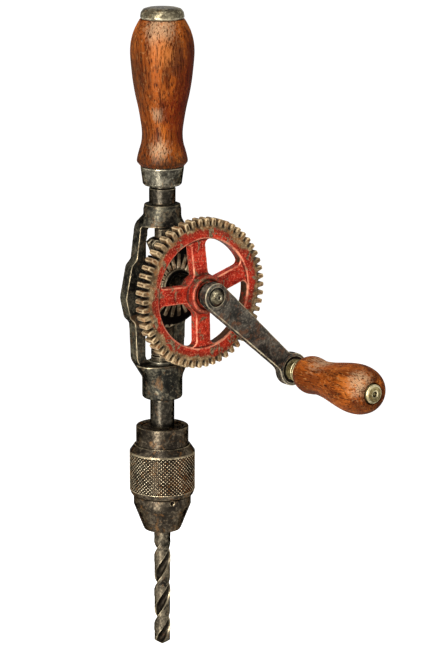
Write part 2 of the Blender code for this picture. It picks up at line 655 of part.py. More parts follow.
def make_spindle(spindle_pivot, idler_pivot):
    """Spindle through its bronze bush, with its pinned pinion, and the free pinion on its own pin."""
    teeth_back = PINION_SIDE[0][1] + PINION_BACK
    neck_top = teeth_back + PINION_NECK_DROP
    hub_end = BOTTOM_COLLAR_TOP - THRUST_THICK - 3.0 * FIT
    pin_drop = (neck_top + teeth_back + PINION_HUB_DROP) / 2.0
    shaft_top = BOTTOM_COLLAR_LOW + FIT
    shaft_low = CHUCK_TOP + CHUCK_DISH - FIT
    toe = PINION_SIDE[0][1] * TOE_SHARE

    put(object_from("spindle_bush", turned(
        tube(JOURNAL_R + FIT, BUSH_R, -BOTTOM_COLLAR_LOW, FIT - BOTTOM_COLLAR_TOP), TURN_MIDDLE), BRONZE))

    spindle = put(object_from("spindle", turned([
        (0.0, -PILOT_END - FIT), (PIN_R, -PILOT_END - FIT), (PIN_R, -neck_top - FIT),
        (PINION_NECK_R, -neck_top - FIT), (PINION_NECK_R, -hub_end - FIT), (JOURNAL_R, -hub_end - FIT),
        (JOURNAL_R, -shaft_top), (SHAFT_R, -shaft_top), (SHAFT_R, -shaft_low), (CHUCK_THREAD_R, -shaft_low),
        (CHUCK_THREAD_R, -shaft_low - CHUCK_THREAD_DEEP + FIT), (0.0, -shaft_low - CHUCK_THREAD_DEEP + FIT)],
        TURN_SMALL), DARK_STEEL), spindle_pivot)
    cross = Matrix.Translation((0.0, 0.0, -pin_drop)) @ Matrix.Rotation(radians(90.0), 4, "Y")
    cut(spindle, moved(turned(rod(CROSS_PIN_R + FIT, -PINION_HUB_R, PINION_HUB_R), TURN_TINY), cross))

    pinion = put(object_from("drive_pinion", bevel_body(
        PINION_TEETH, PINION_SIDE, PINION_BACK_R, PINION_BACK, pi / PINION_TEETH), DARK_STEEL), spindle_pivot)
    pinion.rotation_euler = (pi, 0.0, 0.0)
    joined(pinion, turned([
        (0.0, toe + OVERRUN), (PINION_NECK_R, toe + OVERRUN),
        (PINION_BACK_R - YOKE_INSET, teeth_back - PINION_BACK / 2.0),
        (PINION_BACK_R - YOKE_INSET, teeth_back + PINION_BACK / 2.0),
        (PINION_HUB_R, teeth_back + PINION_HUB_DROP), (PINION_HUB_R, hub_end), (0.0, hub_end)], TURN_MIDDLE))
    cut(pinion, turned(rod(PIN_R + FIT, toe - OVERRUN, neck_top + FIT), TURN_SMALL))
    cut(pinion, turned(rod(PINION_NECK_R + FIT, neck_top, hub_end + OVERRUN), TURN_SMALL))
    hole = Matrix.Translation((0.0, 0.0, pin_drop)) @ Matrix.Rotation(radians(90.0), 4, "Y")
    cut(pinion, moved(turned(rod(CROSS_PIN_R + FIT, -PINION_BACK_R - OVERRUN, PINION_BACK_R + OVERRUN),
                             TURN_TINY), hole))
    cross_pin = turned(rod(CROSS_PIN_R, -PINION_HUB_R, PINION_HUB_R), TURN_TINY)
    put(object_from("pinion_pin", moved(cross_pin, cross), STEEL), spindle_pivot)

    put(object_from("thrust_washer", turned(
        tube(JOURNAL_R + FIT, THRUST_R, -hub_end - 2.0 * FIT - THRUST_THICK, -hub_end - 2.0 * FIT),
        TURN_MIDDLE), STEEL), spindle_pivot)

    idler = put(object_from("idler_pinion", bevel_body(
        PINION_TEETH, PINION_SIDE, PINION_BACK_R, PINION_BACK, pi / PINION_TEETH), DARK_STEEL), idler_pivot)
    joined(idler, turned(rod(IDLER_HUB_R, toe + OVERRUN, WINDOW_UP - 3.0 * FIT), TURN_SMALL))
    cut(idler, turned(rod(PIN_R + FIT, toe - OVERRUN, WINDOW_UP + OVERRUN), TURN_SMALL))

    put(object_from("idler_pin", turned([
        (0.0, PILOT_END + FIT), (PIN_R, PILOT_END + FIT), (PIN_R, HEAD_FLOOR + FIT),
        (IDLER_HEAD_R, HEAD_FLOOR + FIT), (IDLER_HEAD_R, THREAD_FLOOR), (0.0, THREAD_FLOOR)],
        TURN_SMALL), STEEL))


def make_driving_gear(crank_pivot):
    """Bevel gear with radial ribs on its front, pinned on the sleeve that turns on the stud."""
    back = STUD_SEAT + STUD_FLANGE + 2.0 * FIT
    front = GEAR_SIDE[0][1] + GEAR_WEB
    gear = put(object_from("drive_gear", forward(bevel_body(
        GEAR_TEETH, GEAR_SIDE, GEAR_SIDE[0][0], GEAR_WEB, 0.0)), DARK_STEEL), crank_pivot)
    ribs = bmesh.new()
    middle = GEAR_RIB_R - GEAR_RIB_REACH / 2.0
    size = Matrix.Diagonal((GEAR_RIB_REACH, GEAR_RIB_WIDTH, GEAR_RIB_RISE + GEAR_WEB / 2.0, 1.0))
    place = Matrix.Translation((middle, 0.0, front + GEAR_RIB_RISE / 2.0 - GEAR_WEB / 4.0))
    for rib in range(GEAR_RIBS):
        made = bmesh.ops.create_cube(ribs, size=1.0)["verts"]
        turn = Matrix.Rotation(2.0 * pi * rib / GEAR_RIBS, 4, "Z")
        bmesh.ops.transform(ribs, matrix=turn @ place @ size, verts=made)
        for v in made:
            if v.co.z > front and hypot(v.co.x, v.co.y) > middle:
                v.co.z -= GEAR_RIB_RISE / 2.0
    joined(gear, forward(ribs))
    joined(gear, forward(turned([
        (0.0, back), (GEAR_HUB_R, back), (GEAR_HUB_R, GEAR_HUB_FRONT - EDGE),
        (GEAR_HUB_R - EDGE, GEAR_HUB_FRONT), (0.0, GEAR_HUB_FRONT)], TURN_MIDDLE)))
    cut(gear, forward(turned(rod(SLEEVE_R + FIT, back - OVERRUN, GEAR_HUB_FRONT + OVERRUN), TURN_SMALL)))
    return gear


def arc(centre, radius, start, end, steps):
    return [(centre[0] + radius * cos(start + (end - start) * i / steps),
             centre[1] + radius * sin(start + (end - start) * i / steps)) for i in range(steps + 1)]


def spoke_window(turn, step):
    """Outline of the opening from one spoke to the next, with its four corners rounded."""
    hub_r = WHEEL_HUB_R + SPOKE_RECESS
    far = WHEEL_RIM_R - SPOKE_CORNER
    near = hub_r + SPOKE_CORNER
    wide = asin((SPOKE_HALF + SPOKE_CORNER) / far)
    tight = asin((SPOKE_HALF + SPOKE_CORNER) / near)
    outline = []
    for centre_r, angle, start, end in (
            (far, turn + wide, turn - pi / 2.0, turn + wide),
            (far, turn + step - wide, turn + step - wide, turn + step + pi / 2.0),
            (near, turn + step - tight, turn + step + pi / 2.0, turn + step - tight + pi),
            (near, turn + tight, turn + tight + pi, turn + 1.5 * pi)):
        outline += arc((centre_r * cos(angle), centre_r * sin(angle)), SPOKE_CORNER, start, end, ARC_STEPS)
        if centre_r == far and angle == turn + wide:
            outline += arc((0.0, 0.0), WHEEL_RIM_R, turn + wide, turn + step - wide, 2 * ARC_STEPS)[1:-1]
    return outline


def make_wheel(crank_pivot):
    """Cast gear wheel: a toothed rim, four spokes set back a little from it, and a long hub."""
    rim = []
    for tooth in range(WHEEL_TEETH):
        middle = 2.0 * pi * tooth / WHEEL_TEETH
        for radius, share in ((WHEEL_R - WHEEL_TOOTH, -TOOTH_ROOT_SHARE), (WHEEL_R, -TOOTH_TIP_SHARE),
                              (WHEEL_R, TOOTH_TIP_SHARE), (WHEEL_R - WHEEL_TOOTH, TOOTH_ROOT_SHARE)):
            angle = middle + share * pi / WHEEL_TEETH
            rim.append((radius * cos(angle), radius * sin(angle)))
    following = SPOKE_ANGLES[1:] + (SPOKE_ANGLES[0] + 2.0 * pi,)
    windows = [spoke_window(turn, after - turn) for turn, after in zip(SPOKE_ANGLES, following)]
    blank = plate([rim] + windows, -WHEEL_FRONT, WHEEL_WIDTH - WHEEL_FRONT)
    wheel = put(object_from("gear_wheel", blank, RED), crank_pivot)
    recess_in, recess_out = WHEEL_HUB_R - OVERRUN, WHEEL_RIM_R - YOKE_INSET
    wheel_back = WHEEL_FRONT - WHEEL_WIDTH
    cut(wheel, forward(turned(tube(recess_in, recess_out, WHEEL_FRONT - SPOKE_RECESS, WHEEL_FRONT + OVERRUN),
                              TURN_LARGE)))
    cut(wheel, forward(turned(tube(recess_in, recess_out, wheel_back - OVERRUN, wheel_back + SPOKE_RECESS),
                              TURN_LARGE)))
    joined(wheel, forward(turned([
        (0.0, WHEEL_HUB_BACK), (WHEEL_HUB_R - EDGE, WHEEL_HUB_BACK),
        (WHEEL_HUB_R, WHEEL_HUB_BACK + EDGE), (WHEEL_HUB_R, WHEEL_HUB_FRONT - EDGE),
        (WHEEL_HUB_R - EDGE, WHEEL_HUB_FRONT), (0.0, WHEEL_HUB_FRONT)], TURN_LARGE, HUB_SHIFT_SHARE)))
    cut(wheel, forward(turned(rod(SLEEVE_R + FIT, WHEEL_HUB_BACK - OVERRUN, WHEEL_HUB_FRONT + OVERRUN),
                              TURN_SMALL)))
    return wheel


def make_crank(crank_pivot, gear, wheel):
    """Sleeve on the stud, spacer and hub pins, and the arm that two dogs on the sleeve drive."""
    back = STUD_SEAT + STUD_FLANGE + 2.0 * FIT
    dog_end = ARM_BACK + DOG_HEIGHT
    hang = Matrix.Rotation(CRANK_ANGLE, 4, "Y")
    reach = ARM_HUB_R + OVERRUN
    sleeve = put(object_from("hub_sleeve", forward(turned(
        tube(STUD_R + FIT, SLEEVE_R, back, dog_end), TURN_SMALL)), STEEL), crank_pivot)
    for side in (-1.0, 1.0):
        cut(sleeve, moved(box((side * DOG_WIDTH / 2.0, side * reach), (-dog_end - OVERRUN, FIT - ARM_BACK),
                              (-reach, reach)), hang))

    spacer = tube(SLEEVE_R + FIT, SPACER_R, GEAR_HUB_FRONT + FIT, WHEEL_HUB_BACK - FIT)
    put(object_from("gear_spacer", forward(turned(spacer, TURN_SMALL)), STEEL), crank_pivot)

    for name, holder, hub_r, low, high in (
            ("gear_pin", gear, GEAR_HUB_R, GEAR_SIDE[0][1] + GEAR_WEB, GEAR_HUB_FRONT),
            ("wheel_pin", wheel, WHEEL_HUB_R, WHEEL_FRONT, WHEEL_HUB_FRONT)):
        place = Matrix.Translation((0.0, 0.0, (low + high) / 2.0)) @ Matrix.Rotation(radians(90.0), 4, "Y")
        for drilled in (holder, sleeve):
            drill = turned(rod(CROSS_PIN_R + FIT, STUD_R, hub_r + OVERRUN), TURN_TINY)
            cut(drilled, forward(moved(drill, place)))
        put(object_from(name, forward(moved(turned(
            rod(CROSS_PIN_R, STUD_R + 2.0 * FIT, hub_r - FIT), TURN_TINY), place)), STEEL), crank_pivot)

    front = ARM_BACK + ARM_THICK
    meet = asin(ARM_NARROW_HALF / ARM_EYE_R)
    waist = CRANK_RADIUS - ARM_EYE_R * cos(meet)
    outline = (arc((0.0, 0.0), ARM_HUB_R, pi / 2.0, 1.5 * pi, 3 * ARC_STEPS) + [(waist, -ARM_NARROW_HALF)]
               + arc((CRANK_RADIUS, 0.0), ARM_EYE_R, meet - pi, pi - meet, 5 * ARC_STEPS)[1:-1]
               + [(waist, ARM_NARROW_HALF)])
    arm = put(object_from("crank_arm", plate([outline], -front, -ARM_BACK), STEEL), crank_pivot)
    arm.rotation_euler = (0.0, CRANK_ANGLE, 0.0)
    softened(arm, ARM_EDGE)
    half_slot = DOG_WIDTH / 2.0 + FIT
    cut(arm, box((-half_slot, half_slot), (-dog_end - FIT, OVERRUN - ARM_BACK), (-reach, reach)))
    stud_end = front - SPOTFACE_DEEP - ARM_LIP
    cut(arm, forward(turned(rod(STUD_R + FIT, ARM_BACK - OVERRUN, stud_end), TURN_SMALL)))
    cut(arm, forward(turned(rod(SCREW_R + FIT, stud_end - OVERRUN, front + OVERRUN), TURN_TINY)))
    cut(arm, forward(turned(rod(SPOTFACE_R, front - SPOTFACE_DEEP, front + OVERRUN), TURN_SMALL)))
    at_eye = Matrix.Translation((CRANK_RADIUS, 0.0, 0.0))
    for hole in (rod(GRIP_PIN_R + FIT, ARM_BACK - OVERRUN, front + OVERRUN),
                 rod(EYE_RECESS_R, front - EYE_RECESS, front + OVERRUN)):
        cut(arm, moved(forward(turned(hole, TURN_SMALL)), at_eye))


def make_grip(crank_pivot, grip_pivot):
    """Wooden grip and its ferrule, free on a headed pin that a round nut closes."""
    ferrule_back = ARM_BACK + ARM_THICK - EYE_RECESS + FIT
    ferrule_front = ARM_BACK + ARM_THICK + FIT + GRIP_FERRULE_LENGTH
    wood_back = ferrule_front + FIT
    wood_front = wood_back + GRIP_LENGTH
    nut_back = wood_front - GRIP_NUT_SEAT
    nut_front = wood_front + GRIP_NUT_OUT
    pin_end = (nut_back + 2.0 * nut_front) / 3.0
    head_front = ARM_BACK - FIT
    bore_r = GRIP_PIN_R + FIT
    at_eye = (CRANK_RADIUS * cos(CRANK_ANGLE), 0.0, -CRANK_RADIUS * sin(CRANK_ANGLE))

    pin = put(object_from("grip_pin", forward(turned([
        (0.0, head_front - GRIP_PIN_HEAD), (GRIP_PIN_HEAD_R - ARM_EDGE, head_front - GRIP_PIN_HEAD),
        (GRIP_PIN_HEAD_R, head_front - GRIP_PIN_HEAD + ARM_EDGE), (GRIP_PIN_HEAD_R, head_front),
        (GRIP_PIN_R, head_front), (GRIP_PIN_R, pin_end), (0.0, pin_end)], TURN_SMALL)), STEEL), crank_pivot)
    pin.location = at_eye
    nut = put(object_from("grip_nut", forward(turned([
        (bore_r, nut_back), (GRIP_NUT_R, nut_back), (GRIP_NUT_R, nut_front - ARM_EDGE),
        (GRIP_NUT_R - ARM_EDGE, nut_front), (GRIP_NUT_R / 3.0, nut_front), (0.0, nut_front - ARM_EDGE),
        (0.0, pin_end + FIT), (bore_r, pin_end + FIT)], TURN_SMALL)), BRASS), crank_pivot)
    nut.location = at_eye

    lip = ferrule_front - GRIP_FERRULE_LENGTH / 4.0
    put(object_from("grip_ferrule", forward(turned([
        (bore_r, ferrule_back), (GRIP_FERRULE_R, ferrule_back), (GRIP_FERRULE_R, lip - ARM_EDGE),
        (GRIP_FERRULE_LIP_R, lip), (GRIP_FERRULE_LIP_R, ferrule_front), (bore_r, ferrule_front)],
        TURN_SMALL)), BRASS), grip_pivot)
    side = [(radius * GRIP_SWELL_R, wood_back + along * GRIP_LENGTH) for along, radius in GRIP_SHARES]
    end_floor = wood_front - GRIP_END_BORE
    put(object_from("crank_grip", forward(turned(
        [(bore_r, wood_back)] + side + [(GRIP_END_BORE_R, wood_front),
         (GRIP_END_BORE_R, end_floor), (bore_r, end_floor)], TURN_MIDDLE)), WOOD), grip_pivot)


CHUCK_TOP = BOTTOM_COLLAR_LOW + SHAFT_LENGTH
SLEEVE_TOP = CHUCK_TOP + CHUCK_BACK_LENGTH + FIT
CORE_TOP = SLEEVE_TOP + SLEEVE_TOP_LIP + FIT
SLEEVE_END = SLEEVE_TOP + SLEEVE_LENGTH
RING_TOP = SLEEVE_END + FIT
GROOVE_TOP = RING_TOP - NUT_GROOVE_LENGTH
RING_END = RING_TOP + CHUCK_RING_LENGTH
NOSE = RING_END + CHUCK_NOSE_LENGTH
SLEEVE_BORE_R = CHUCK_CORE_R + FIT


def knurled_sleeve():
    """Sleeve whose knurl is a net of points: rows of high and low corners, each row staggered."""
    top_r = SLEEVE_TOP_R + CHUCK_EDGE / 2.0
    first = SLEEVE_TOP + SLEEVE_TOP_SLOPE
    last = SLEEVE_END - SLEEVE_LOW_SLOPE
    rows = [(SLEEVE_BORE_R, CORE_TOP - FIT, 0.0), (SLEEVE_TOP_R, CORE_TOP - FIT, 0.0),
            (SLEEVE_TOP_R, SLEEVE_TOP, 0.0), (top_r, SLEEVE_TOP, 0.0), (SLEEVE_OUT_R, first, 0.0)]
    top, low = first + KNURL_TOP_BAND, last - KNURL_LOW_BAND
    for row in range(KNURL_ROWS):
        rows.append((SLEEVE_OUT_R, top + (low - top) * row / (KNURL_ROWS - 1), KNURL_DEEP))
    rows += [(SLEEVE_OUT_R, last, 0.0), (SLEEVE_LOW_R, SLEEVE_END, 0.0), (SLEEVE_BORE_R, SLEEVE_END, 0.0)]
    knurl_start = 5
    corners = 2 * KNURL_POINTS
    bm = bmesh.new()
    rings = []
    for row, (radius, depth, deep) in enumerate(rows):
        ring = []
        for i in range(corners):
            r = radius - deep * ((row - knurl_start + i) % 2)
            angle = 2.0 * pi * i / corners
            ring.append(bm.verts.new((r * cos(angle), r * sin(angle), -depth)))
        rings.append(ring)
    for row, (upper, lower) in enumerate(zip(rings, rings[1:] + rings[:1])):
        for i in range(corners):
            a, b, c, d = upper[i - 1], upper[i], lower[i], lower[i - 1]
            if (row - knurl_start + i) % 2:
                bm.faces.new((a, b, d))
                bm.faces.new((b, c, d))
            else:
                bm.faces.new((a, b, c))
                bm.faces.new((a, c, d))
    return bm


def make_chuck(spindle_pivot, sleeve_pivot):
    """Three-jaw chuck: body on the spindle's thread, split nut, knurled sleeve and slanted jaws."""
    edge = CHUCK_EDGE
    body = put(object_from("chuck_body", turned([
        (0.0, -CHUCK_TOP - CHUCK_DISH), (CHUCK_DISH_R - CHUCK_DISH, -CHUCK_TOP - CHUCK_DISH),
        (CHUCK_DISH_R, -CHUCK_TOP), (CHUCK_BACK_R - edge, -CHUCK_TOP), (CHUCK_BACK_R, -CHUCK_TOP - edge),
        (CHUCK_BACK_R, -CORE_TOP), (CHUCK_CORE_R, -CORE_TOP), (CHUCK_CORE_R, -GROOVE_TOP),
        (NUT_GROOVE_R, -GROOVE_TOP), (NUT_GROOVE_R, -RING_TOP), (CHUCK_RING_R - edge / 2.0, -RING_TOP),
        (CHUCK_RING_R, -RING_TOP - edge / 2.0), (CHUCK_RING_R, -RING_END),
        (CHUCK_NOSE_R, NOSE_EDGE - NOSE), (CHUCK_NOSE_R - NOSE_EDGE / 3.0, NOSE_EDGE / 3.0 - NOSE),
        (CHUCK_NOSE_R - NOSE_EDGE, -NOSE), (0.0, -NOSE)], TURN_MIDDLE), STEEL), spindle_pivot)
    cut(body, turned(rod(SOCKET_R, -NOSE - OVERRUN, OVERRUN - CHUCK_TOP), TURN_SMALL))
    slide_room = JAW_LENGTH + 2.0 * OVERRUN
    for jaw in range(JAWS):
        angle = JAW_TURN + 2.0 * pi * jaw / JAWS
        place = (Matrix.Rotation(angle, 4, "Z") @ Matrix.Translation((JAW_NOSE_OFFSET, 0.0, -NOSE))
                 @ Matrix.Rotation(JAW_SLANT, 4, "Y"))
        cut(body, moved(turned(rod(JAW_R + FIT, -2.0 * OVERRUN, slide_room), TURN_SMALL), place))
        jaw_pivot = pivot(f"jaw_{jaw + 1}_slide", place.to_translation(), spindle_pivot)
        jaw_pivot.rotation_euler = (0.0, JAW_SLANT, angle)
        blank = turned(rod(JAW_R, -OVERRUN, JAW_LENGTH), TURN_SMALL)
        shoe = put(object_from(f"jaw_{jaw + 1}", blank, DARK_STEEL), jaw_pivot)
        upright = Matrix.Rotation(-JAW_SLANT, 4, "Y") @ Matrix.Translation((-JAW_NOSE_OFFSET, 0.0, 0.0))
        for inside, above in (((-JAW_LENGTH, BIT_R + FIT), (-JAW_LENGTH, 2.0 * JAW_LENGTH)),
                              ((-JAW_LENGTH, JAW_LENGTH), (-JAW_LENGTH, FIT))):
            cut(shoe, moved(box(inside, (-JAW_LENGTH, JAW_LENGTH), above), upright))
    ring_middle = Matrix.Translation((0.0, 0.0, -RING_TOP - KEY_HOLE_DOWN))
    across = Matrix.Rotation(KEY_HOLE_TURN, 4, "Z") @ ring_middle @ Matrix.Rotation(radians(90.0), 4, "Y")
    key_hole = rod(KEY_HOLE_R, CHUCK_RING_R - KEY_HOLE_DEEP, CHUCK_RING_R + OVERRUN)
    cut(body, moved(turned(key_hole, TURN_TINY), across))

    put(object_from("chuck_sleeve", knurled_sleeve(), STEEL), sleeve_pivot)

    nut_top, nut_low = GROOVE_TOP + FIT, RING_TOP - FIT
    jaw_edge = JAW_NOSE_OFFSET + JAW_R / cos(JAW_SLANT) + FIT
    cone = [jaw_edge + (NOSE - k) * tan(JAW_SLANT) for k in (nut_top, nut_low)]
    for name, side in (("chuck_nut_a", 1.0), ("chuck_nut_b", -1.0)):
        half = put(object_from(name, turned([
            (cone[0], -nut_top), (CHUCK_CORE_R, -nut_top), (CHUCK_CORE_R, -nut_low), (cone[1], -nut_low)],
            TURN_MIDDLE), STEEL), sleeve_pivot)
        far = CHUCK_CORE_R + OVERRUN
        cut(half, box((side * NUT_SLIT / 2.0, -side * far), (-far, far),
                      (-nut_low - OVERRUN, OVERRUN - nut_top)))


def bit_ring(k, tip):
    """One cross-section of the twist bit at depth k below the axle: a round with two flutes."""
    flute_half = acos((FLUTE_OFFSET ** 2 + BIT_R ** 2 - FLUTE_R ** 2) / (2.0 * FLUTE_OFFSET * BIT_R))
    start = NOSE + BIT_PLAIN
    grown = min(max((k - start) / BIT_RUN_OUT, 0.0), 1.0)
    depth = grown * grown * (3.0 - 2.0 * grown)
    twist = -2.0 * pi * (k - start) / BIT_LEAD
    most = (tip - k) * tan(BIT_TIP_ANGLE)
    points = []
    for side in (0.0, pi):
        for i in range(-FLUTE_STEPS, FLUTE_STEPS + 1):
            a = flute_half * i / FLUTE_STEPS
            r = FLUTE_OFFSET * cos(a) - sqrt(FLUTE_R ** 2 - (FLUTE_OFFSET * sin(a)) ** 2)
            r = min(BIT_R - (BIT_R - r) * depth, most)
            points.append((r * cos(side + a + twist), r * sin(side + a + twist), -k))
        for i in range(1, FLUTE_STEPS + 1):
            a = flute_half + (pi - 2.0 * flute_half) * i / (FLUTE_STEPS + 1)
            r = min(BIT_R, most)
            points.append((r * cos(side + a + twist), r * sin(side + a + twist), -k))
    return points


def make_bit(spindle_pivot):
    """Twist bit: plain shank held in the jaws, two right-hand flutes and a ground point."""
    tip = NOSE + BIT_OUT
    cone = BIT_R / tan(BIT_TIP_ANGLE)
    start = NOSE + BIT_PLAIN
    fluted = tip - cone - start
    depths = [NOSE - BIT_IN, start] + [start + fluted * i / BIT_STEPS for i in range(1, BIT_STEPS + 1)]
    depths += [tip - cone * share for share in BIT_TIP_SHARES]
    bm = bmesh.new()
    rings = [[bm.verts.new(p) for p in bit_ring(k, tip)] for k in depths]
    for upper, lower in zip(rings, rings[1:]):
        for i in range(len(upper)):
            bm.faces.new((upper[i - 1], upper[i], lower[i], lower[i - 1]))
    bm.faces.new(rings[0])
    point = bm.verts.new((0.0, 0.0, -tip))
    for i in range(len(rings[-1])):
        bm.faces.new((rings[-1][i - 1], rings[-1][i], point))
    put(object_from("twist_bit", bm, DARK_STEEL), spindle_pivot)


crank = pivot("crank_pivot", (0.0, 0.0, 0.0), AXLE)
grip = pivot("grip_pivot", (CRANK_RADIUS * cos(CRANK_ANGLE), 0.0, -CRANK_RADIUS * sin(CRANK_ANGLE)), crank)
spindle_line = pivot("spindle_pivot", (0.0, 0.0, 0.0), AXLE)
idler_line = pivot("idler_pivot", (0.0, 0.0, 0.0), AXLE)
sleeve_line = pivot("chuck_sleeve_pivot", (0.0, 0.0, 0.0), spindle_line)

make_frame()
make_handle()
make_axle()
make_spindle(spindle_line, idler_line)
make_crank(crank, make_driving_gear(crank), make_wheel(crank))
make_grip(crank, grip)
make_chuck(spindle_line, sleeve_line)
make_bit(spindle_line)
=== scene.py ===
"""Hand drill with a turned wooden handle, an open casting, a red spoked gear wheel and a chuck.

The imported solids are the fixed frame.  Each section below makes one piece, or one group of like
pieces, in the order in which the drill is put together, and lets it ride on its body.
"""

from math import acos, asin, cos, degrees, pi, radians, sin, sqrt, tan

import bmesh
import bpy
import numpy as np
from mathutils import Matrix, Vector


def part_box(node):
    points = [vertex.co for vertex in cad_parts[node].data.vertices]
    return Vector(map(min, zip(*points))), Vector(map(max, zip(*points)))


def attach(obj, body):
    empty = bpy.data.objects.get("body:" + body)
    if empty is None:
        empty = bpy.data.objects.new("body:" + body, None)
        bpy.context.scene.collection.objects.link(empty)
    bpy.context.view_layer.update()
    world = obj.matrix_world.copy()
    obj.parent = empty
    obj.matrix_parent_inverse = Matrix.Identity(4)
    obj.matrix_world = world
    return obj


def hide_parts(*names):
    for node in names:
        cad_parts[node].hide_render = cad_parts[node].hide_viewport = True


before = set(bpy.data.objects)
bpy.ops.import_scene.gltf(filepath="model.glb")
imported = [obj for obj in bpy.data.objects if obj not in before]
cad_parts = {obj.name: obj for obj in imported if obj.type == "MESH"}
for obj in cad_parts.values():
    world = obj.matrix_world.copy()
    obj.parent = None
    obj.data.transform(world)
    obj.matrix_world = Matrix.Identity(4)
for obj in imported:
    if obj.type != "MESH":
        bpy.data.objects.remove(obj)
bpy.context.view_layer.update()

# Studio: a pale floor well below the drill, a white surround and soft lamps.  The camera stands
# where the photographer stood: left of the crank, a little above the gear wheel.
MM = 0.001
WHEEL_LOW, WHEEL_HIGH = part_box("gear_wheel")
AXLE = Vector((0.0, 0.0, (WHEEL_LOW.z + WHEEL_HIGH.z) / 2.0))
LOOK_AT = AXLE + Vector((0.0, 0.0, -25.9 * MM))
CAMERA_TURN, CAMERA_LIFT, CAMERA_AWAY = -36.5, 13.2, 1.75
SENSOR_HEIGHT = 36.0
PHOTO_HEIGHT = 650.0
FOCAL_PIXELS = 3010.0
AXIS_LEFT_OF_MIDDLE = 54.2
FLOOR_Z = -0.75
FLOOR_R = 30.0
AMBIENT = 0.10
WHITE = (1.0, 1.0, 1.0, 1.0)

scene = bpy.context.scene
scene.view_settings.view_transform = "Standard"


def towards(turn, lift):
    """Unit vector from the drill to a point in the studio, by its turn and lift in degrees."""
    turn, lift = radians(turn), radians(lift)
    return Vector((sin(turn) * cos(lift), -cos(turn) * cos(lift), sin(lift)))


def aimed(obj, turn, lift, away):
    """Stand a camera or a lamp away from the drill, so that it looks back at it."""
    obj.location = LOOK_AT + towards(turn, lift) * away
    obj.rotation_euler = towards(turn, lift).to_track_quat("Z", "Y").to_euler()
    scene.collection.objects.link(obj)


camera = bpy.data.objects.new("camera", bpy.data.cameras.new("camera"))
camera.data.sensor_fit = "VERTICAL"
camera.data.sensor_height = SENSOR_HEIGHT
camera.data.lens = SENSOR_HEIGHT * FOCAL_PIXELS / PHOTO_HEIGHT
camera.data.shift_x = AXIS_LEFT_OF_MIDDLE / PHOTO_HEIGHT
camera.data.clip_end = 100.0
aimed(camera, CAMERA_TURN, CAMERA_LIFT, CAMERA_AWAY)
scene.camera = camera

for name, turn, lift, away, wide, tall, watts, matte, gloss, tint in (
        ("key", -55.0, 8.0, 1.5, 0.16, 1.60, 23.0, True, True, (1.0, 0.98, 0.95)),
        ("gleam", -66.0, 8.0, 1.5, 0.14, 1.60, 26.0, False, True, (1.0, 0.97, 0.92)),
        ("top", -50.0, 58.0, 1.6, 0.60, 0.60, 14.0, True, True, (1.0, 0.99, 0.97)),
        ("fill", 62.0, 10.0, 1.7, 0.60, 0.90, 1.3, True, True, (0.95, 0.97, 1.0)),
        ("back", 150.0, 20.0, 1.7, 0.70, 1.20, 12.0, True, False, (1.0, 0.99, 0.97))):
    lamp = bpy.data.objects.new(name, bpy.data.lights.new(name, "AREA"))
    lamp.data.shape = "RECTANGLE"
    lamp.data.size, lamp.data.size_y = wide, tall
    lamp.data.energy = watts
    lamp.data.color = tint
    lamp.visible_diffuse, lamp.visible_glossy = matte, gloss
    aimed(lamp, turn, lift, away)


def add_node(tree, kind, inputs, out=0, **options):
    """Add a node, set its options, set or link its inputs, and give one of its outputs."""
    node = tree.nodes.new(kind)
    for key, value in options.items():
        setattr(node, key, value)
    for key, value in inputs.items():
        if isinstance(value, bpy.types.NodeSocket):
            tree.links.new(value, node.inputs[key])
        else:
            node.inputs[key].default_value = value
    return node.outputs[out]


def seen_as_white(tree, strength, ambient):
    """Drive a strength: 1 for rays that show the background, the ambient level for the others."""
    shown = add_node(tree, "ShaderNodeLightPath", {}, "Is Camera Ray")
    for other in ("Is Glossy Ray", "Is Transmission Ray"):
        ray = add_node(tree, "ShaderNodeLightPath", {}, other)
        shown = add_node(tree, "ShaderNodeMath", {0: shown, 1: ray}, operation="MAXIMUM")
    tree.links.new(add_node(tree, "ShaderNodeMapRange", {"Value": shown, "To Min": ambient}), strength)


world = bpy.data.worlds.new("white surround")
world.use_nodes = True
scene.world = world
surround = world.node_tree.nodes["Background"]
surround.inputs["Color"].default_value = WHITE
seen_as_white(world.node_tree, surround.inputs["Strength"], AMBIENT)

paper = bpy.data.materials.new("pale floor")
paper.use_nodes = True
paper_shader = paper.node_tree.nodes["Principled BSDF"]
paper_shader.inputs["Base Color"].default_value = (0.93, 0.93, 0.92, 1.0)
paper_shader.inputs["Roughness"].default_value = 0.9
paper_shader.inputs["Specular IOR Level"].default_value = 0.0
paper_shader.inputs["Emission Color"].default_value = WHITE
seen_as_white(paper.node_tree, paper_shader.inputs["Emission Strength"], 0.0)

floor_shape = bmesh.new()
bmesh.ops.create_circle(floor_shape, cap_ends=True, radius=FLOOR_R, segments=64)
bmesh.ops.translate(floor_shape, verts=floor_shape.verts, vec=(0.0, 0.0, FLOOR_Z))
floor_mesh = bpy.data.meshes.new("floor")
floor_shape.to_mesh(floor_mesh)
floor_shape.free()
floor_mesh.materials.append(paper)
floor = bpy.data.objects.new("floor", floor_mesh)
scene.collection.objects.link(floor)


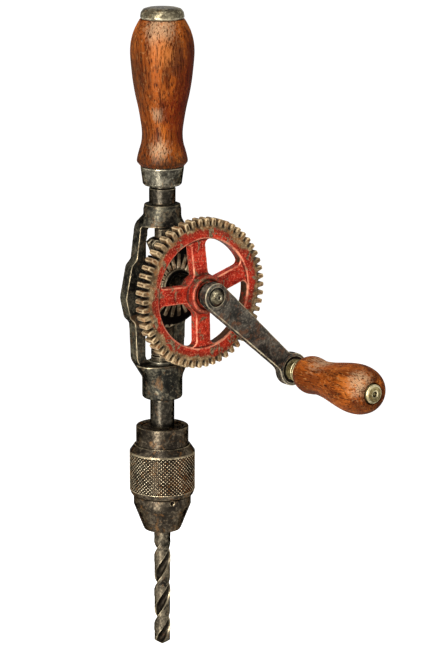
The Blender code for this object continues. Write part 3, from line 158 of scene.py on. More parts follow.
# Casting: one piece of grey iron, blackened and oiled.  A flat loop with two windows carries a
# collar at each end and a bridge with the axle boss; collars, boss and bores are machined.
RAIL_FRONT, RAIL_BACK = 1.4, 8.4
WINDOW_UP, WINDOW_DOWN = 32.5, 47.8
TOP_FOOT, TOP_END, TOP_R = 33.3, 46.1, 11.0
LOW_FOOT, LOW_END, LOW_R = -68.9, -49.0, 11.8
TOP_YOKE = ((14.5, 10.6, 33.7), (11.8, 10.7, 37.2), (10.7, 10.7, 40.8))
LOW_YOKE = ((17.0, 11.4, -48.2), (16.0, 11.6, -50.2), (12.6, 11.5, -55.0), (11.5, 11.5, -59.0))
BOSS_R, BOSS_FRONT, BOSS_BACK = 8.8, 4.0, 11.2
PILOT_BOSS_R, PILOT_BOSS_END = 5.2, 14.2
SOCKET_BORE, SOCKET_END = (6.5, 38.6, 50.0), (5.1, 36.5, 40.0)
BUSH_BORE = (8.3, -74.0, -46.0)
IDLER_BORE, PILOT_BORE = (3.1, 6.6, 38.0), (3.1, -17.0, -6.6)
STUD_BORE_R = 3.7
STUD_BORE, FLANGE_SEAT = (STUD_BORE_R, -14.0, 8.0), (7.3, 3.6, 8.0)
CASTING_VOXEL = 0.5
EDGE_SPAN = 0.4
# Near-black for inner corners and knurl grooves: grime, and painted shade where shade falls there.
GRIME_AND_SHADE = (16, 13, 10)


def tone(red, green, blue):
    """A colour given as it looks on screen, 0 to 255, as the linear colour that shaders use."""
    return tuple((v / 255.0 / 12.92) if v <= 10 else ((v / 255.0 + 0.055) / 1.055) ** 2.4
                 for v in (red, green, blue)) + (1.0,)


class Finish:
    """A procedural finish, read in the piece's own coordinates; scales are per metre."""

    def __init__(self, name, stretch=(1.0, 1.0, 1.0)):
        self.material = bpy.data.materials.new(name)
        self.material.use_nodes = True
        self.tree = self.material.node_tree
        self.shader = self.tree.nodes["Principled BSDF"]
        self.coords = self.tree.nodes.new("ShaderNodeTexCoord").outputs["Object"]
        self.place = self.scaled(stretch)
        self.normal = None

    def add(self, kind, inputs, out=0, **options):
        return add_node(self.tree, "ShaderNode" + kind, inputs, out, **options)

    def scaled(self, stretch, shift=(0.0, 0.0, 0.0)):
        return self.add("Mapping", {"Vector": self.coords, "Location": shift, "Scale": stretch})

    def distance(self, keep, centre):
        """Distance in mm from a centre, along the axes that are kept."""
        shift = tuple(-k * c for k, c in zip(keep, centre))
        metres = self.add("VectorMath", {0: self.scaled(keep, shift)}, 1, operation="LENGTH")
        return self.times(metres, 1.0 / MM)

    def noise(self, scale, detail=4.0, roughness=0.6, bend=0.0, place=None):
        return self.add("TexNoise", {"Vector": place or self.place, "Scale": scale, "Detail": detail,
                                     "Roughness": roughness, "Distortion": bend})

    def band(self, value, low, high, start=0.0, end=1.0):
        return self.add("MapRange", {0: value, 1: low, 2: high, 3: start, 4: end},
                        interpolation_type="SMOOTHSTEP")

    def sum(self, *values, how="ADD"):
        total = values[0]
        for value in values[1:]:
            total = self.add("Math", {0: total, 1: value}, operation=how)
        return total

    def times(self, *values):
        return self.sum(*values, how="MULTIPLY")

    def mix(self, share, first, second):
        """Blend two colours; one that is given in numbers is taken as it looks on screen."""
        first, second = (tone(*c) if isinstance(c, tuple) else c for c in (first, second))
        return self.add("Mix", {0: share, 6: first, 7: second}, 2, data_type="RGBA")

    def over(self, colour, overlay, *shares):
        """Lay a colour over a colour by the product of the shares."""
        return self.mix(self.times(*shares), colour, overlay)

    def patched(self, colour, *layers):
        """Lay colours over a colour, each by its amount where a field lies in its band."""
        for field, low, high, amount, overlay in layers:
            colour = self.over(colour, overlay, self.band(field, low, high), amount)
        return colour

    def edges(self):
        return self.add("Attribute", {}, 2, attribute_name="wear_and_shade")

    def worn(self, low, high, ragged=0.16, scale=520.0):
        """1 on outer edges, from the mesh's own record of them, broken up by a noise."""
        broken = self.times(self.sum(self.noise(scale, 4.0, 0.7), -0.5), ragged)
        kept = self.band(self.noise(scale * 0.3, 3.0, 0.6), 0.40, 0.60, 0.25, 1.0)
        return self.times(self.band(self.sum(self.edges(), broken), low, high), kept)

    def hollow(self, low=0.03, high=0.16):
        """1 in inner corners, where dirt and oil collect and where shade falls; what is laid there is grime
        and painted shade.
        """
        return self.band(self.times(self.edges(), -1.0), low, high)

    def bump(self, height, depth, strength):
        """Add relief with a depth in mm to what was there before."""
        sockets = {"Height": height, "Distance": depth * MM, "Strength": strength}
        if self.normal:
            sockets["Normal"] = self.normal
        self.normal = self.add("Bump", sockets)

    def done(self, colour, roughness, metallic, coat=0.0, rim=0.2):
        """Link the shader; a low rim tint keeps round sides as dark as oiled metal has them."""
        self.shader.inputs["Specular Tint"].default_value = (rim, rim, rim, 1.0)
        for key, value in (("Coat Weight", coat), ("Coat Roughness", 0.36), ("Coat IOR", 1.35),
                           ("Base Color", colour), ("Roughness", roughness), ("Metallic", metallic),
                           ("Specular IOR Level", 0.0), ("Normal", self.normal)):
            if isinstance(value, bpy.types.NodeSocket):
                self.tree.links.new(value, self.shader.inputs[key])
            elif value is not None:
                self.shader.inputs[key].default_value = value
        return self.material


def mottled(f, dark, middle, light, rust, grain=1.0, rusty=0.60):
    """Colour of old oiled metal, with the broad and fine noises and the rust spots behind it."""
    broad = f.noise(95.0 * grain, 5.0, 0.62, 0.6)
    fine = f.noise(620.0 * grain, 4.0, 0.7)
    colour = f.mix(f.band(broad, 0.36, 0.60), dark, middle)
    colour = f.mix(f.band(f.sum(fine, f.times(broad, 0.6)), 0.76, 0.98), colour, light)
    spots = f.band(f.sum(f.noise(150.0 * grain, 6.0, 0.7, 1.0), f.times(fine, 0.18)), rusty, rusty + 0.10)
    colour = f.over(colour, rust, spots, 0.75)
    return f.patched(colour, (f.noise(1500.0, 3.0, 0.6), 0.54, 0.66, 0.75, dark)), broad, fine, spots


def patina(name, dark, middle, light, rust, bright, grain=1.0, rusty=0.60, metallic=0.5,
           polish=0.44, edge=(0.07, 0.20), rim=0.2):
    """Old oiled iron or steel: mottled tones, rust, pits, bright worn edges, and corners darkened with grime
    and painted shade.
    """
    f = Finish(name)
    colour, broad, fine, spots = mottled(f, dark, middle, light, rust, grain, rusty)
    # Grime and painted shade in the inner corners.
    colour = f.over(colour, GRIME_AND_SHADE, f.hollow(), 0.9)
    worn = f.worn(*edge)
    colour = f.over(colour, bright, worn, 0.85)
    f.bump(fine, 0.06, 0.6)
    pits = f.add("TexVoronoi", {"Vector": f.place, "Scale": 420.0 * grain})
    f.bump(f.band(pits, 0.0, 0.30), 0.08, 0.5)
    rough = f.sum(f.band(broad, 0.3, 0.7, polish, polish + 0.10), f.times(spots, 0.12), f.times(worn, -0.08))
    return f.done(colour, rough, metallic, rim=rim)


CASTING = patina("blackened casting", (24, 24, 22), (56, 54, 47), (102, 96, 80), (82, 60, 40),
                 (168, 152, 122), rusty=0.62, metallic=0.65, polish=0.32, edge=(0.15, 0.34))


def arc(x, z, radius, start, end, steps):
    """Points on an arc, with its angles in degrees."""
    return [(x + radius * cos(radians(start + (end - start) * i / steps)),
             z + radius * sin(radians(start + (end - start) * i / steps))) for i in range(steps + 1)]


def eased(corners, closed=False, steps=6, guard=0.45):
    """Outline through (a, b, radius) corners: each is turned as an arc between two guard points."""
    points = []
    for i, (a, b, radius) in enumerate(corners):
        here = Vector((a, b))
        if radius == 0.0 or (not closed and i in (0, len(corners) - 1)):
            points.append((a, b))
            continue
        before = Vector(corners[i - 1][:2]) - here
        after = Vector(corners[(i + 1) % len(corners)][:2]) - here
        half = before.angle(after) / 2.0
        reach = min(radius / tan(half), before.length * 0.49, after.length * 0.49)
        centre = here + (before.normalized() + after.normalized()).normalized() * (reach / cos(half))
        start = here + before.normalized() * reach - centre
        sweep = (here + after.normalized() * reach - centre).angle_signed(start)
        if guard and before.length * 0.49 > reach + guard:
            points.append(tuple(here + before.normalized() * (reach + guard)))
        points += [tuple(centre + Matrix.Rotation(sweep * k / steps, 2) @ start) for k in range(steps + 1)]
        if guard and after.length * 0.49 > reach + guard:
            points.append(tuple(here + after.normalized() * (reach + guard)))
    return points


def lofted(rings, closed=False):
    """Skin through rings of (x, y, z) points in mm; a ring of one point is a pole."""
    bm = bmesh.new()
    made = [[bm.verts.new(Vector(p) * MM) for p in ring] for ring in rings]
    for i in range(len(made) if closed else len(made) - 1):
        low, high = made[i], made[(i + 1) % len(made)]
        for k in range(max(len(low), len(high))):
            n = (k + 1) % max(len(low), len(high))
            if len(low) > 1 and len(high) > 1:
                bm.faces.new((low[k], low[n], high[n], high[k]))
            elif len(high) > 1:
                bm.faces.new((low[0], high[n], high[k]))
            elif len(low) > 1:
                bm.faces.new((low[k], low[n], high[0]))
    bmesh.ops.recalc_face_normals(bm, faces=bm.faces)
    return bm


def circle(radius, height, steps=96, squash=1.0):
    """A ring round Z; squash below 1 makes it an oval that is shallower in Y."""
    if radius < 1e-6:
        return [(0.0, 0.0, height)]
    return [(radius * cos(2 * pi * k / steps), squash * radius * sin(2 * pi * k / steps), height)
            for k in range(steps)]


def turned(profile, steps=96):
    """Spin a side view of (radius, height) points, in mm, about Z."""
    return lofted([circle(r, h, steps) for r, h in profile], closed=profile[0][0] > 1e-6)


def lathed(corners, steps=96):
    """Spin a side view of (radius, height, rounding) corners about Z."""
    return turned(eased(corners, closed=corners[0][0] > 0.0), steps)


def rod(radius, low, high, steps=96):
    """A round bar along Z, or the tool for a bore."""
    return turned([(0.0, low), (radius, low), (radius, high), (0.0, high)], steps)


def yoke(sections):
    """A solid through oval sections of (half width, half depth, height), in mm."""
    ends = [[(0.0, 0.0, sections[i][2])] for i in (0, -1)]
    return lofted(ends[:1] + [circle(x, z, squash=y / x) for x, y, z in sections] + ends[1:])


def shifted(bm, matrix):
    """Move or turn a shape."""
    bmesh.ops.transform(bm, matrix=matrix, verts=bm.verts)
    return bm


def forward(bm):
    """Lay a shape turned about Z onto the axle, so that its +Z becomes the drill's front, -Y."""
    return shifted(bm, Matrix.Rotation(radians(90.0), 4, "X"))


def slab(outlines, front, back):
    """A plate of (x, z) outlines in mm, the first with any windows, between two depths in Y."""
    bm = bmesh.new()
    edges = []
    for outline in outlines:
        verts = [bm.verts.new((x * MM, front * MM, z * MM)) for x, z in outline]
        edges += [bm.edges.new((verts[i - 1], verts[i])) for i in range(len(verts))]
    bmesh.ops.triangle_fill(bm, use_beauty=True, use_dissolve=False, edges=edges)
    made = bmesh.ops.extrude_face_region(bm, geom=list(bm.faces))
    bmesh.ops.translate(bm, vec=(0.0, (back - front) * MM, 0.0),
                        verts=[v for v in made["geom"] if isinstance(v, bmesh.types.BMVert)])
    bmesh.ops.recalc_face_normals(bm, faces=bm.faces)
    return bm


def piece(name, finish, *shapes):
    """One object from one or more shapes drawn about the axle centre."""
    whole = bmesh.new()
    for shape in shapes:
        part = bpy.data.meshes.new("part")
        shape.to_mesh(part)
        shape.free()
        whole.from_mesh(part)
        bpy.data.meshes.remove(part)
    mesh = bpy.data.meshes.new(name)
    whole.to_mesh(mesh)
    whole.free()
    mesh.materials.append(finish)
    obj = bpy.data.objects.new(name, mesh)
    scene.collection.objects.link(obj)
    return obj


def settled(obj):
    """Turn the object's modifiers into plain mesh."""
    graph = bpy.context.evaluated_depsgraph_get()
    made = bpy.data.meshes.new_from_object(obj.evaluated_get(graph), depsgraph=graph)
    obj.modifiers.clear()
    old, obj.data = obj.data, made
    made.name = obj.name
    bpy.data.meshes.remove(old)
    return obj


def fused(obj, voxel, soften):
    """Melt overlapping shapes into one skin with cast fillets."""
    melt = obj.modifiers.new("melt", "REMESH")
    melt.mode = "VOXEL"
    melt.voxel_size = voxel * MM
    ease = obj.modifiers.new("ease", "SMOOTH")
    ease.factor = 0.5
    ease.iterations = soften
    return settled(obj)


def bored(obj, *tools):
    """Machine holes with closed tools."""
    cutters = [piece(f"{obj.name} tool", None, tool) for tool in tools]
    for cutter in cutters:
        cut = obj.modifiers.new("cut", "BOOLEAN")
        cut.operation = "DIFFERENCE"
        cut.solver = "MANIFOLD"
        cut.object = cutter
    settled(obj)
    for cutter in cutters:
        bpy.data.meshes.remove(cutter.data)


def edge_record(mesh, passes):
    """Per vertex, how sharply the surface bends: above 0 on outer edges, below 0 in corners."""
    count = len(mesh.vertices)
    spots = np.empty(count * 3)
    mesh.vertices.foreach_get("co", spots)
    spots = spots.reshape(-1, 3)
    normals = np.empty(count * 3)
    mesh.vertex_normals.foreach_get("vector", normals)
    normals = normals.reshape(-1, 3)
    ends = np.empty(len(mesh.edges) * 2, dtype=np.int32)
    mesh.edges.foreach_get("vertices", ends)
    a, b = ends.reshape(-1, 2).T
    run = spots[a] - spots[b]
    length = np.maximum(np.linalg.norm(run, axis=1), 0.02 * MM)[:, None]
    run *= EDGE_SPAN * MM / length ** 2
    here, there = (normals[a] * run).sum(1), -(normals[b] * run).sum(1)
    high, low = np.zeros(count), np.zeros(count)
    np.maximum.at(high, a, here)
    np.maximum.at(high, b, there)
    np.minimum.at(low, a, here)
    np.minimum.at(low, b, there)
    wear_and_shade = np.where(high > -low, high, low)
    links = np.maximum(np.bincount(ends, minlength=count), 1)
    for _ in range(passes):
        near = np.bincount(a, weights=wear_and_shade[b], minlength=count)
        near += np.bincount(b, weights=wear_and_shade[a], minlength=count)
        wear_and_shade = 0.5 * wear_and_shade + 0.5 * near / links
    return wear_and_shade


def placed(obj, body, slot, *nodes, smooth=40.0, passes=0):
    """Bring a piece from the axle centre to its place, shade it and let it ride on its body."""
    mesh = obj.data
    mesh.transform(Matrix.Translation(AXLE))
    mesh.shade_smooth()
    if smooth:
        mesh.set_sharp_from_angle(angle=radians(smooth))
    # The record marks worn outer edges, and inner corners for grime and painted shade.
    record = mesh.attributes.new("wear_and_shade", "FLOAT", "POINT")
    record.data.foreach_set("value", edge_record(mesh, passes).astype(np.float32))
    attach(obj, body)
    if nodes:
        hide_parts(*nodes)


def both_sides(half):
    """Close a right-hand half outline, given from top to bottom, with its mirror image."""
    return half + [(-x, z, radius) for x, z, radius in reversed(half)]


loop_outside = eased(both_sides([
    (5.8, 41.1, 2.5), (14.1, 35.0, 7.0), (17.0, 14.6, 2.5), (20.6, 11.0, 2.5), (24.7, -7.8, 7.0),
    (21.8, -19.6, 2.5), (18.2, -23.2, 2.5), (17.0, -45.3, 7.0), (8.0, -58.4, 2.5)]), True, guard=0.0)
upper_window = eased(both_sides([(9.4, WINDOW_UP, 5.0), (9.4, 28.0, 2.5), (10.3, 24.6, 2.5),
                                 (10.3, 8.2, 3.0)]), True, guard=0.0)
lower_window = eased(both_sides([(10.8, -8.2, 3.0), (10.8, -WINDOW_DOWN, 5.5)]), True, guard=0.0)
casting = piece(
    "casting", CASTING, slab((loop_outside, upper_window, lower_window), RAIL_FRONT, RAIL_BACK),
    yoke(TOP_YOKE), yoke(LOW_YOKE),
    lathed([(0.0, TOP_FOOT, 0.0), (TOP_R - 0.4, TOP_FOOT, 0.6), (TOP_R, TOP_FOOT + 1.0, 0.6),
            (TOP_R, TOP_END - 2.4, 0.3), (TOP_R - 0.4, TOP_END - 2.2, 0.2), (TOP_R - 0.4, TOP_END, 0.5),
            (0.0, TOP_END, 0.0)]),
    lathed([(0.0, LOW_FOOT, 0.0), (LOW_R, LOW_FOOT, 1.6), (LOW_R, LOW_END, 0.6), (0.0, LOW_END, 0.0)]),
    forward(rod(BOSS_R, -BOSS_BACK, BOSS_FRONT)), rod(PILOT_BOSS_R, -PILOT_BOSS_END, PILOT_BOSS_END))
fused(casting, CASTING_VOXEL, 3)
bored(casting, *[rod(*bore) for bore in (SOCKET_BORE, SOCKET_END, BUSH_BORE, IDLER_BORE, PILOT_BORE)],
      *[forward(rod(*bore)) for bore in (STUD_BORE, FLANGE_SEAT)])
placed(casting, "drill", "blackened_casting", "frame", smooth=0.0, passes=1)


# Free pinion: a small steel bevel gear that runs on a pin under the arch and steadies the
# driving gear.  Forged, cut and oiled, it keeps its bright tooth tips.
GEAR_VOXEL = 0.34
GEAR_STEEL = patina("oiled gear steel", (28, 25, 21), (58, 52, 43), (92, 82, 66), (84, 60, 38),
                    (134, 122, 100), rusty=0.64, metallic=0.5, polish=0.34, edge=(0.06, 0.20))
PLAIN_STEEL = patina("worn steel", (40, 38, 32), (80, 76, 66), (126, 120, 104), (106, 80, 52),
                     (200, 190, 164), rusty=0.66, metallic=0.8, polish=0.24, edge=(0.16, 0.36))


def worn_copy(node, finish):
    """A copy of a CAD gear's shape with its edges worn round."""
    shape = bmesh.new()
    shape.from_mesh(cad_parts[node].data)
    bmesh.ops.remove_doubles(shape, verts=shape.verts, dist=0.001 * MM)
    shifted(shape, Matrix.Translation(-AXLE))
    return fused(piece(node + "_worn", finish, shape), GEAR_VOXEL, 1)


def carried(finish, *nodes):
    """CAD nodes that hardly show keep their own mesh and take a finish."""
    for node in nodes:
        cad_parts[node].data.materials[0] = finish


idler = worn_copy("idler_pinion", GEAR_STEEL)
placed(idler, "idler", "dark_steel", "idler_pinion", smooth=0.0, passes=1)
carried(PLAIN_STEEL, "idler_pin")


# Spindle group: the spindle runs in a bronze bush in the lower collar and in the bridge.  Its
# pinion is pinned to it, and a thrust washer takes the push of the work.  Between pieces that
# turn in each other, or that are screwed together, lies a small gap.
GAP = 0.3
CHUCK_STUB_R, JOURNAL_R, PINION_SEAT_R, PILOT_R = 5.0, 5.9, 4.2, 2.8
JOURNAL_TOP, PINION_SEAT_TOP = -46.4, -27.8
BUSH_HOLE_R = JOURNAL_R + GAP
NECK_GROOVES, GROOVE_FLOOR_R, GROOVE_HALF = (-39.6, -43.4), 5.9, 0.5
BUSH_BRONZE = patina("bearing bronze", (70, 48, 26), (120, 84, 44), (160, 122, 70), (96, 60, 30),
                     (196, 160, 104), metallic=0.7, polish=0.32)
SHAFT_STEEL = patina("dark shaft steel", (20, 18, 15), (42, 39, 33), (76, 70, 60), (84, 62, 42),
                     (160, 148, 122), rusty=0.66, metallic=0.8, polish=0.24, edge=(0.16, 0.36))


def standing(node):
    """Foot, top and radius, in mm from the axle centre, of a piece that stands on the spindle."""
    low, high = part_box(node)
    return (low.z - AXLE.z) / MM, (high.z - AXLE.z) / MM, (high.x - low.x) / 2.0 / MM


def lying(node):
    """Back, front and radius, in mm, of a piece that lies along the axle or the grip's pin."""
    low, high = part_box(node)
    return -high.y / MM, -low.y / MM, (high.z - low.z) / 2.0 / MM


def ring(inner, outer, low, high, inside=0.2, outside=0.3):
    """A turned ring with its inside and outside edges rounded."""
    return lathed([(inner, low, inside), (outer, low, outside), (outer, high, outside),
                   (inner, high, inside)])


shaft_foot, shaft_top, shaft_r = standing("spindle")
washer_foot, washer_top, washer_r = standing("thrust_washer")
bush_foot, bush_top, bush_r = standing("spindle_bush")
chuck_foot, chuck_top, chuck_r = standing("chuck_body")
shaft = piece("spindle_shaft", SHAFT_STEEL, lathed([
    (0.0, shaft_foot, 0.0), (CHUCK_STUB_R, shaft_foot, 0.6), (CHUCK_STUB_R, chuck_top - 0.7, 0.2),
    (shaft_r, chuck_top - 0.7, 0.4), (shaft_r, bush_foot - GAP, 0.5), (JOURNAL_R, bush_foot - GAP, 0.2),
    (JOURNAL_R, JOURNAL_TOP, 0.2), (PINION_SEAT_R, JOURNAL_TOP, 0.2), (PINION_SEAT_R, PINION_SEAT_TOP, 0.2),
    (PILOT_R, PINION_SEAT_TOP, 0.2), (PILOT_R, shaft_top, 0.3), (0.0, shaft_top, 0.0)]))
placed(shaft, "spindle", "dark_steel", "spindle")
washer = piece("thrust_ring", PLAIN_STEEL, ring(BUSH_HOLE_R, washer_r, washer_foot + 0.1, washer_top))
placed(washer, "spindle", "worn_steel", "thrust_washer")
drive_pinion = worn_copy("drive_pinion", GEAR_STEEL)
bored(drive_pinion, *[ring(GROOVE_FLOOR_R, 8.0, z - GROOVE_HALF, z + GROOVE_HALF, 0.0, 0.0)
                      for z in NECK_GROOVES])
placed(drive_pinion, "spindle", "dark_steel", "drive_pinion", smooth=0.0, passes=1)
bush = piece("bronze_bush", BUSH_BRONZE, ring(BUSH_HOLE_R, bush_r, bush_foot, bush_top - 0.1))
placed(bush, "drill", "bearing_bronze", "spindle_bush")
carried(PLAIN_STEEL, "pinion_pin")


# Axle: a fixed steel stud through the bridge, with a flange in front and a washer and a
# six-sided nut behind.  The crank's sleeve turns on it.
STUD_R, SLEEVE_SEAT_R = 3.4, 4.0
FLANGE_BACK, FLANGE_FRONT = 3.9, 5.4
SCREW_HOLE_R, SCREW_HOLE_DEEP = 2.7, 12.0
NUT_HALF = 6.25
THREAD_PITCH = 0.8
stud_back, stud_front, flange_r = lying("axle_stud")
washer_back, washer_front, stud_washer_r = lying("axle_washer")
nut_back, nut_front, _ = lying("axle_nut")


def threads(radius, low, high):
    """Side view of a thread as close ridges, from low to high."""
    turns = int((high - low) / THREAD_PITCH)
    step = (high - low) / turns
    points = []
    for i in range(turns):
        points += [(radius - 0.35, low + i * step), (radius, low + (i + 0.35) * step),
                   (radius, low + (i + 0.6) * step)]
    return points + [(radius - 0.35, high)]


def six_sided(half, low, high, bore):
    """A bored nut: a hexagon whose corners are turned down at both ends."""
    corner = half / cos(pi / 6.0) + 0.02
    rings = []
    for z, limit in ((low, half * 1.01), (low + 0.7, corner), (high - 0.7, corner), (high, half * 1.01)):
        section = []
        for k in range(96):
            angle = 2 * pi * k / 96
            flat = half / cos((angle % (pi / 3.0)) - pi / 6.0)
            section.append((min(flat, limit) * cos(angle), min(flat, limit) * sin(angle), z))
        rings.append(section)
    return lofted([circle(bore, low)] + rings + [circle(bore, high)], closed=True)


stud_tail = [(0.0, stud_back), (STUD_R - 0.5, stud_back)] + threads(STUD_R, stud_back + 0.5, nut_front)
stud = piece("flanged_stud", PLAIN_STEEL, forward(turned(stud_tail + eased([
    (STUD_R, 0.0, 0.0), (STUD_R, FLANGE_BACK, 0.2), (flange_r, FLANGE_BACK, 0.2),
    (flange_r, FLANGE_FRONT, 0.4), (SLEEVE_SEAT_R, FLANGE_FRONT, 0.2), (SLEEVE_SEAT_R, stud_front, 0.3),
    (SCREW_HOLE_R, stud_front, 0.2), (SCREW_HOLE_R, stud_front - SCREW_HOLE_DEEP, 0.2),
    (0.0, stud_front - SCREW_HOLE_DEEP, 0.0)]))))
placed(stud, "drill", "worn_steel", "axle_stud")
stud_washer = piece("stud_washer", PLAIN_STEEL, forward(ring(STUD_BORE_R, stud_washer_r, washer_back,
                                                             washer_front, inside=0.1)))
placed(stud_washer, "drill", "worn_steel", "axle_washer")
stud_nut = piece("stud_nut", PLAIN_STEEL, forward(six_sided(NUT_HALF, nut_back, nut_front, STUD_BORE_R)))
placed(stud_nut, "drill", "worn_steel", "axle_nut")


# Driving gear: a cast bevel gear with short radial ribs on its front, on a turned sleeve with a
# spacer that holds the big wheel clear of it.
RIB_FLOOR, RIB_TOP = 12.4, 14.0
RIB_START, RIB_FULL = 9.4, 10.6
SLEEVE_HOLE_R = 6.6
ACROSS_AXLE, ORIGIN = (1.0, 0.0, 1.0), (0.0, 0.0, 0.0)


def ribbed(name):
    """Floor between the ribs near black with grease and painted shade; the rib tops, which the meshing teeth
    keep light, are toned paler still as painted light.
    """
    f = Finish(name)
    # Pale steel tones, laid lighter as painted light for a gear that sits in shade behind the wheel.
    colour, broad, fine, _ = mottled(f, (124, 108, 84), (184, 164, 130), (230, 212, 178), (120, 80, 44),
                                     1.3, 0.62)
    height = f.band(f.distance((0.0, 1.0, 0.0), ORIGIN), RIB_FLOOR, RIB_TOP)
    outer = f.band(f.distance(ACROSS_AXLE, AXLE), RIB_START, RIB_FULL)
    # Painted shade with grease: the floor between the ribs goes near black.
    colour = f.mix(f.times(height, outer, f.band(broad, 0.30, 0.50, 0.5, 1.0)), (17, 15, 14), colour)
    # Grime and painted shade in the inner corners.
    colour = f.over(colour, GRIME_AND_SHADE, f.hollow(), 0.8)
    f.bump(fine, 0.10, 0.6)
    return f.done(colour, f.band(fine, 0.3, 0.7, 0.34, 0.46), 0.4)


gear = worn_copy("drive_gear", ribbed("ribbed gear steel"))
placed(gear, "crank", "dark_steel", "drive_gear", smooth=0.0, passes=1)
spacer_back, spacer_front, spacer_r = lying("gear_spacer")
spacer = piece("spacer", SHAFT_STEEL, forward(ring(SLEEVE_HOLE_R, spacer_r, spacer_back, spacer_front,
                                                   outside=0.4)))
placed(spacer, "crank", "worn_steel", "gear_spacer")
carried(SHAFT_STEEL, "hub_sleeve")
carried(PLAIN_STEEL, "gear_pin", "wheel_pin")


# Gear wheel: cast in one, with four spokes and a long hub.  It was painted red and the paint
# has rubbed and rusted off the rim and the teeth.
WHEEL_TEETH = 54
TOOTH_DEEP = 4.0
SPOKE_ANGLES = (17.0, 97.0, 178.0, 271.0)
SPOKE_HALF, SPOKE_RECESS, SPOKE_CORNER = 5.0, 0.8, 3.0
WHEEL_FRONT, WHEEL_WIDTH, RIM_DEPTH = 40.0, 7.0, 12.0
HUB_R, HUB_LIP_R, HUB_DISH_R, HUB_DISH_DEEP, HUB_CORE_R = 11.0, 9.3, 8.6, 1.5, 5.6
PAINT_EDGE = 37.1
HUB_BORE_BACK, HUB_BORE_FRONT = 29.0, 46.0
WHEEL_VOXEL = 0.41
hub_back, hub_front, wheel_r = lying("gear_wheel")
root_r = wheel_r - TOOTH_DEEP
rim_r = wheel_r - RIM_DEPTH
rim_back = WHEEL_FRONT - WHEEL_WIDTH
hub_face = hub_front - 0.1


def enamel(f, broad, quick, reach):
    """Red paint, blotched and grained, that darkens towards the edge where it stops, with painted shade in
    its inner corners.
    """
    colour = f.mix(f.band(broad, 0.35, 0.65), (146, 31, 19), (205, 53, 33))
    grain = f.noise(1000.0, 3.0, 0.65)
    colour = f.patched(
        colour, (quick, 0.52, 0.66, 0.7, (212, 80, 54)), (quick, 0.46, 0.36, 0.75, (112, 26, 15)),
        (reach, PAINT_EDGE - 4.5, PAINT_EDGE - 0.5, 0.6, (98, 38, 22)),
        (grain, 0.55, 0.66, 0.7, (236, 138, 106)), (grain, 0.46, 0.35, 0.75, (84, 16, 9)))
    # Painted shade in the inner corners of the paint.
    return f.over(colour, (48, 16, 10), f.hollow(0.02, 0.14), 0.8)


def inner_wall(f, away):
    """1 on the rim's inner wall, whose faces look at the axle."""
    outward = f.add("VectorMath", {0: f.scaled(ACROSS_AXLE, (0.0, 0.0, -AXLE.z))}, operation="NORMALIZE")
    facing = f.add("TexCoord", {}, "Normal")
    along = f.add("VectorMath", {0: facing, 1: outward}, 1, operation="DOT_PRODUCT")
    return f.times(f.band(along, -0.4, -0.8), f.band(away, 25.0, 27.0))


def tooth_gap_grease_and_shade(f, away):
    """1 in the gaps between the wheel's teeth, where grease stays; the dark laid there is also painted
    shade.
    """
    centred = f.scaled((1.0, 1.0, 1.0), tuple(-AXLE))
    x, z = (f.add("SeparateXYZ", {"Vector": centred}, out) for out in ("X", "Z"))
    ripple = f.add("Math", {0: f.times(f.sum(z, x, how="ARCTAN2"), float(WHEEL_TEETH))}, operation="COSINE")
    return f.times(f.band(ripple, 0.55, -0.75), f.band(away, wheel_r - 0.6, root_r + 0.4),
                   f.band(away, root_r - 1.6, root_r - 0.2))


def painted(name):
    """Red enamel inside the rim, worn to rusty tan iron towards the teeth, chipped at edges, with painted
    shade in corners and tooth gaps and a painted highlight on the enamel's edges.
    """
    f = Finish(name)
    away = f.distance(ACROSS_AXLE, AXLE)
    metal, broad, fine, _ = mottled(f, (82, 64, 44), (136, 110, 78), (182, 156, 116), (138, 82, 40),
                                    1.3, 0.59)
    slow = f.noise(55.0, 3.0, 0.5, 0.4)
    quick = f.noise(420.0, 5.0, 0.7)
    reach = f.sum(away, f.times(f.sum(slow, -0.5), 11.0), f.times(f.sum(quick, -0.5), 3.2))
    bare = f.band(reach, PAINT_EDGE - 0.7, PAINT_EDGE + 0.7)
    outer = f.band(away, rim_r - 1.0, wheel_r - 6.0)
    flaking = f.sum(f.noise(150.0, 6.0, 0.72, 0.8), f.times(quick, 0.2), f.times(outer, 0.03))
    chips = f.band(flaking, 0.655, 0.70)
    iron = f.mix(f.band(fine, 0.36, 0.62), (50, 46, 34), (140, 128, 98))
    paint = f.over(enamel(f, broad, quick, reach), iron, chips, 0.9)
    dirt = f.mix(fine, (30, 30, 22), (92, 84, 62))
    paint = f.over(paint, dirt, inner_wall(f, away), f.band(f.sum(quick, slow), 1.25, 1.02), 0.9)
    near_hub = f.band(away, HUB_R + 5.0, HUB_R - 0.4)
    # Rubbed paint and a painted highlight: pale pink on the enamel's outer edges, weaker near the hub.
    paint = f.over(paint, (242, 158, 124), f.worn(0.04, 0.15, 0.2), f.band(near_hub, 0.0, 1.0, 0.9, 0.3))
    paint = f.over(paint, (52, 34, 24), near_hub, f.band(quick, 0.40, 0.56), 0.6)
    # Grime and painted shade in the inner corners of the bare iron.
    metal = f.over(metal, (34, 24, 14), f.hollow(0.02, 0.16), 0.9)
    metal = f.over(metal, (208, 182, 142), f.worn(0.04, 0.16, 0.2), 0.9)
    # Painted shade, with grease, in the gaps between the teeth.
    metal = f.over(metal, (26, 19, 12), tooth_gap_grease_and_shade(f, away), 0.92)
    f.bump(f.band(f.noise(900.0, 4.0, 0.65), 0.3, 0.7), 0.22, 0.8)
    f.bump(f.times(f.sum(bare, chips), -1.0), 0.12, 0.7)
    rough = f.sum(f.band(quick, 0.3, 0.7, 0.38, 0.50), f.times(bare, 0.08))
    return f.done(f.mix(bare, paint, metal), rough, 0.35, coat=0.2)


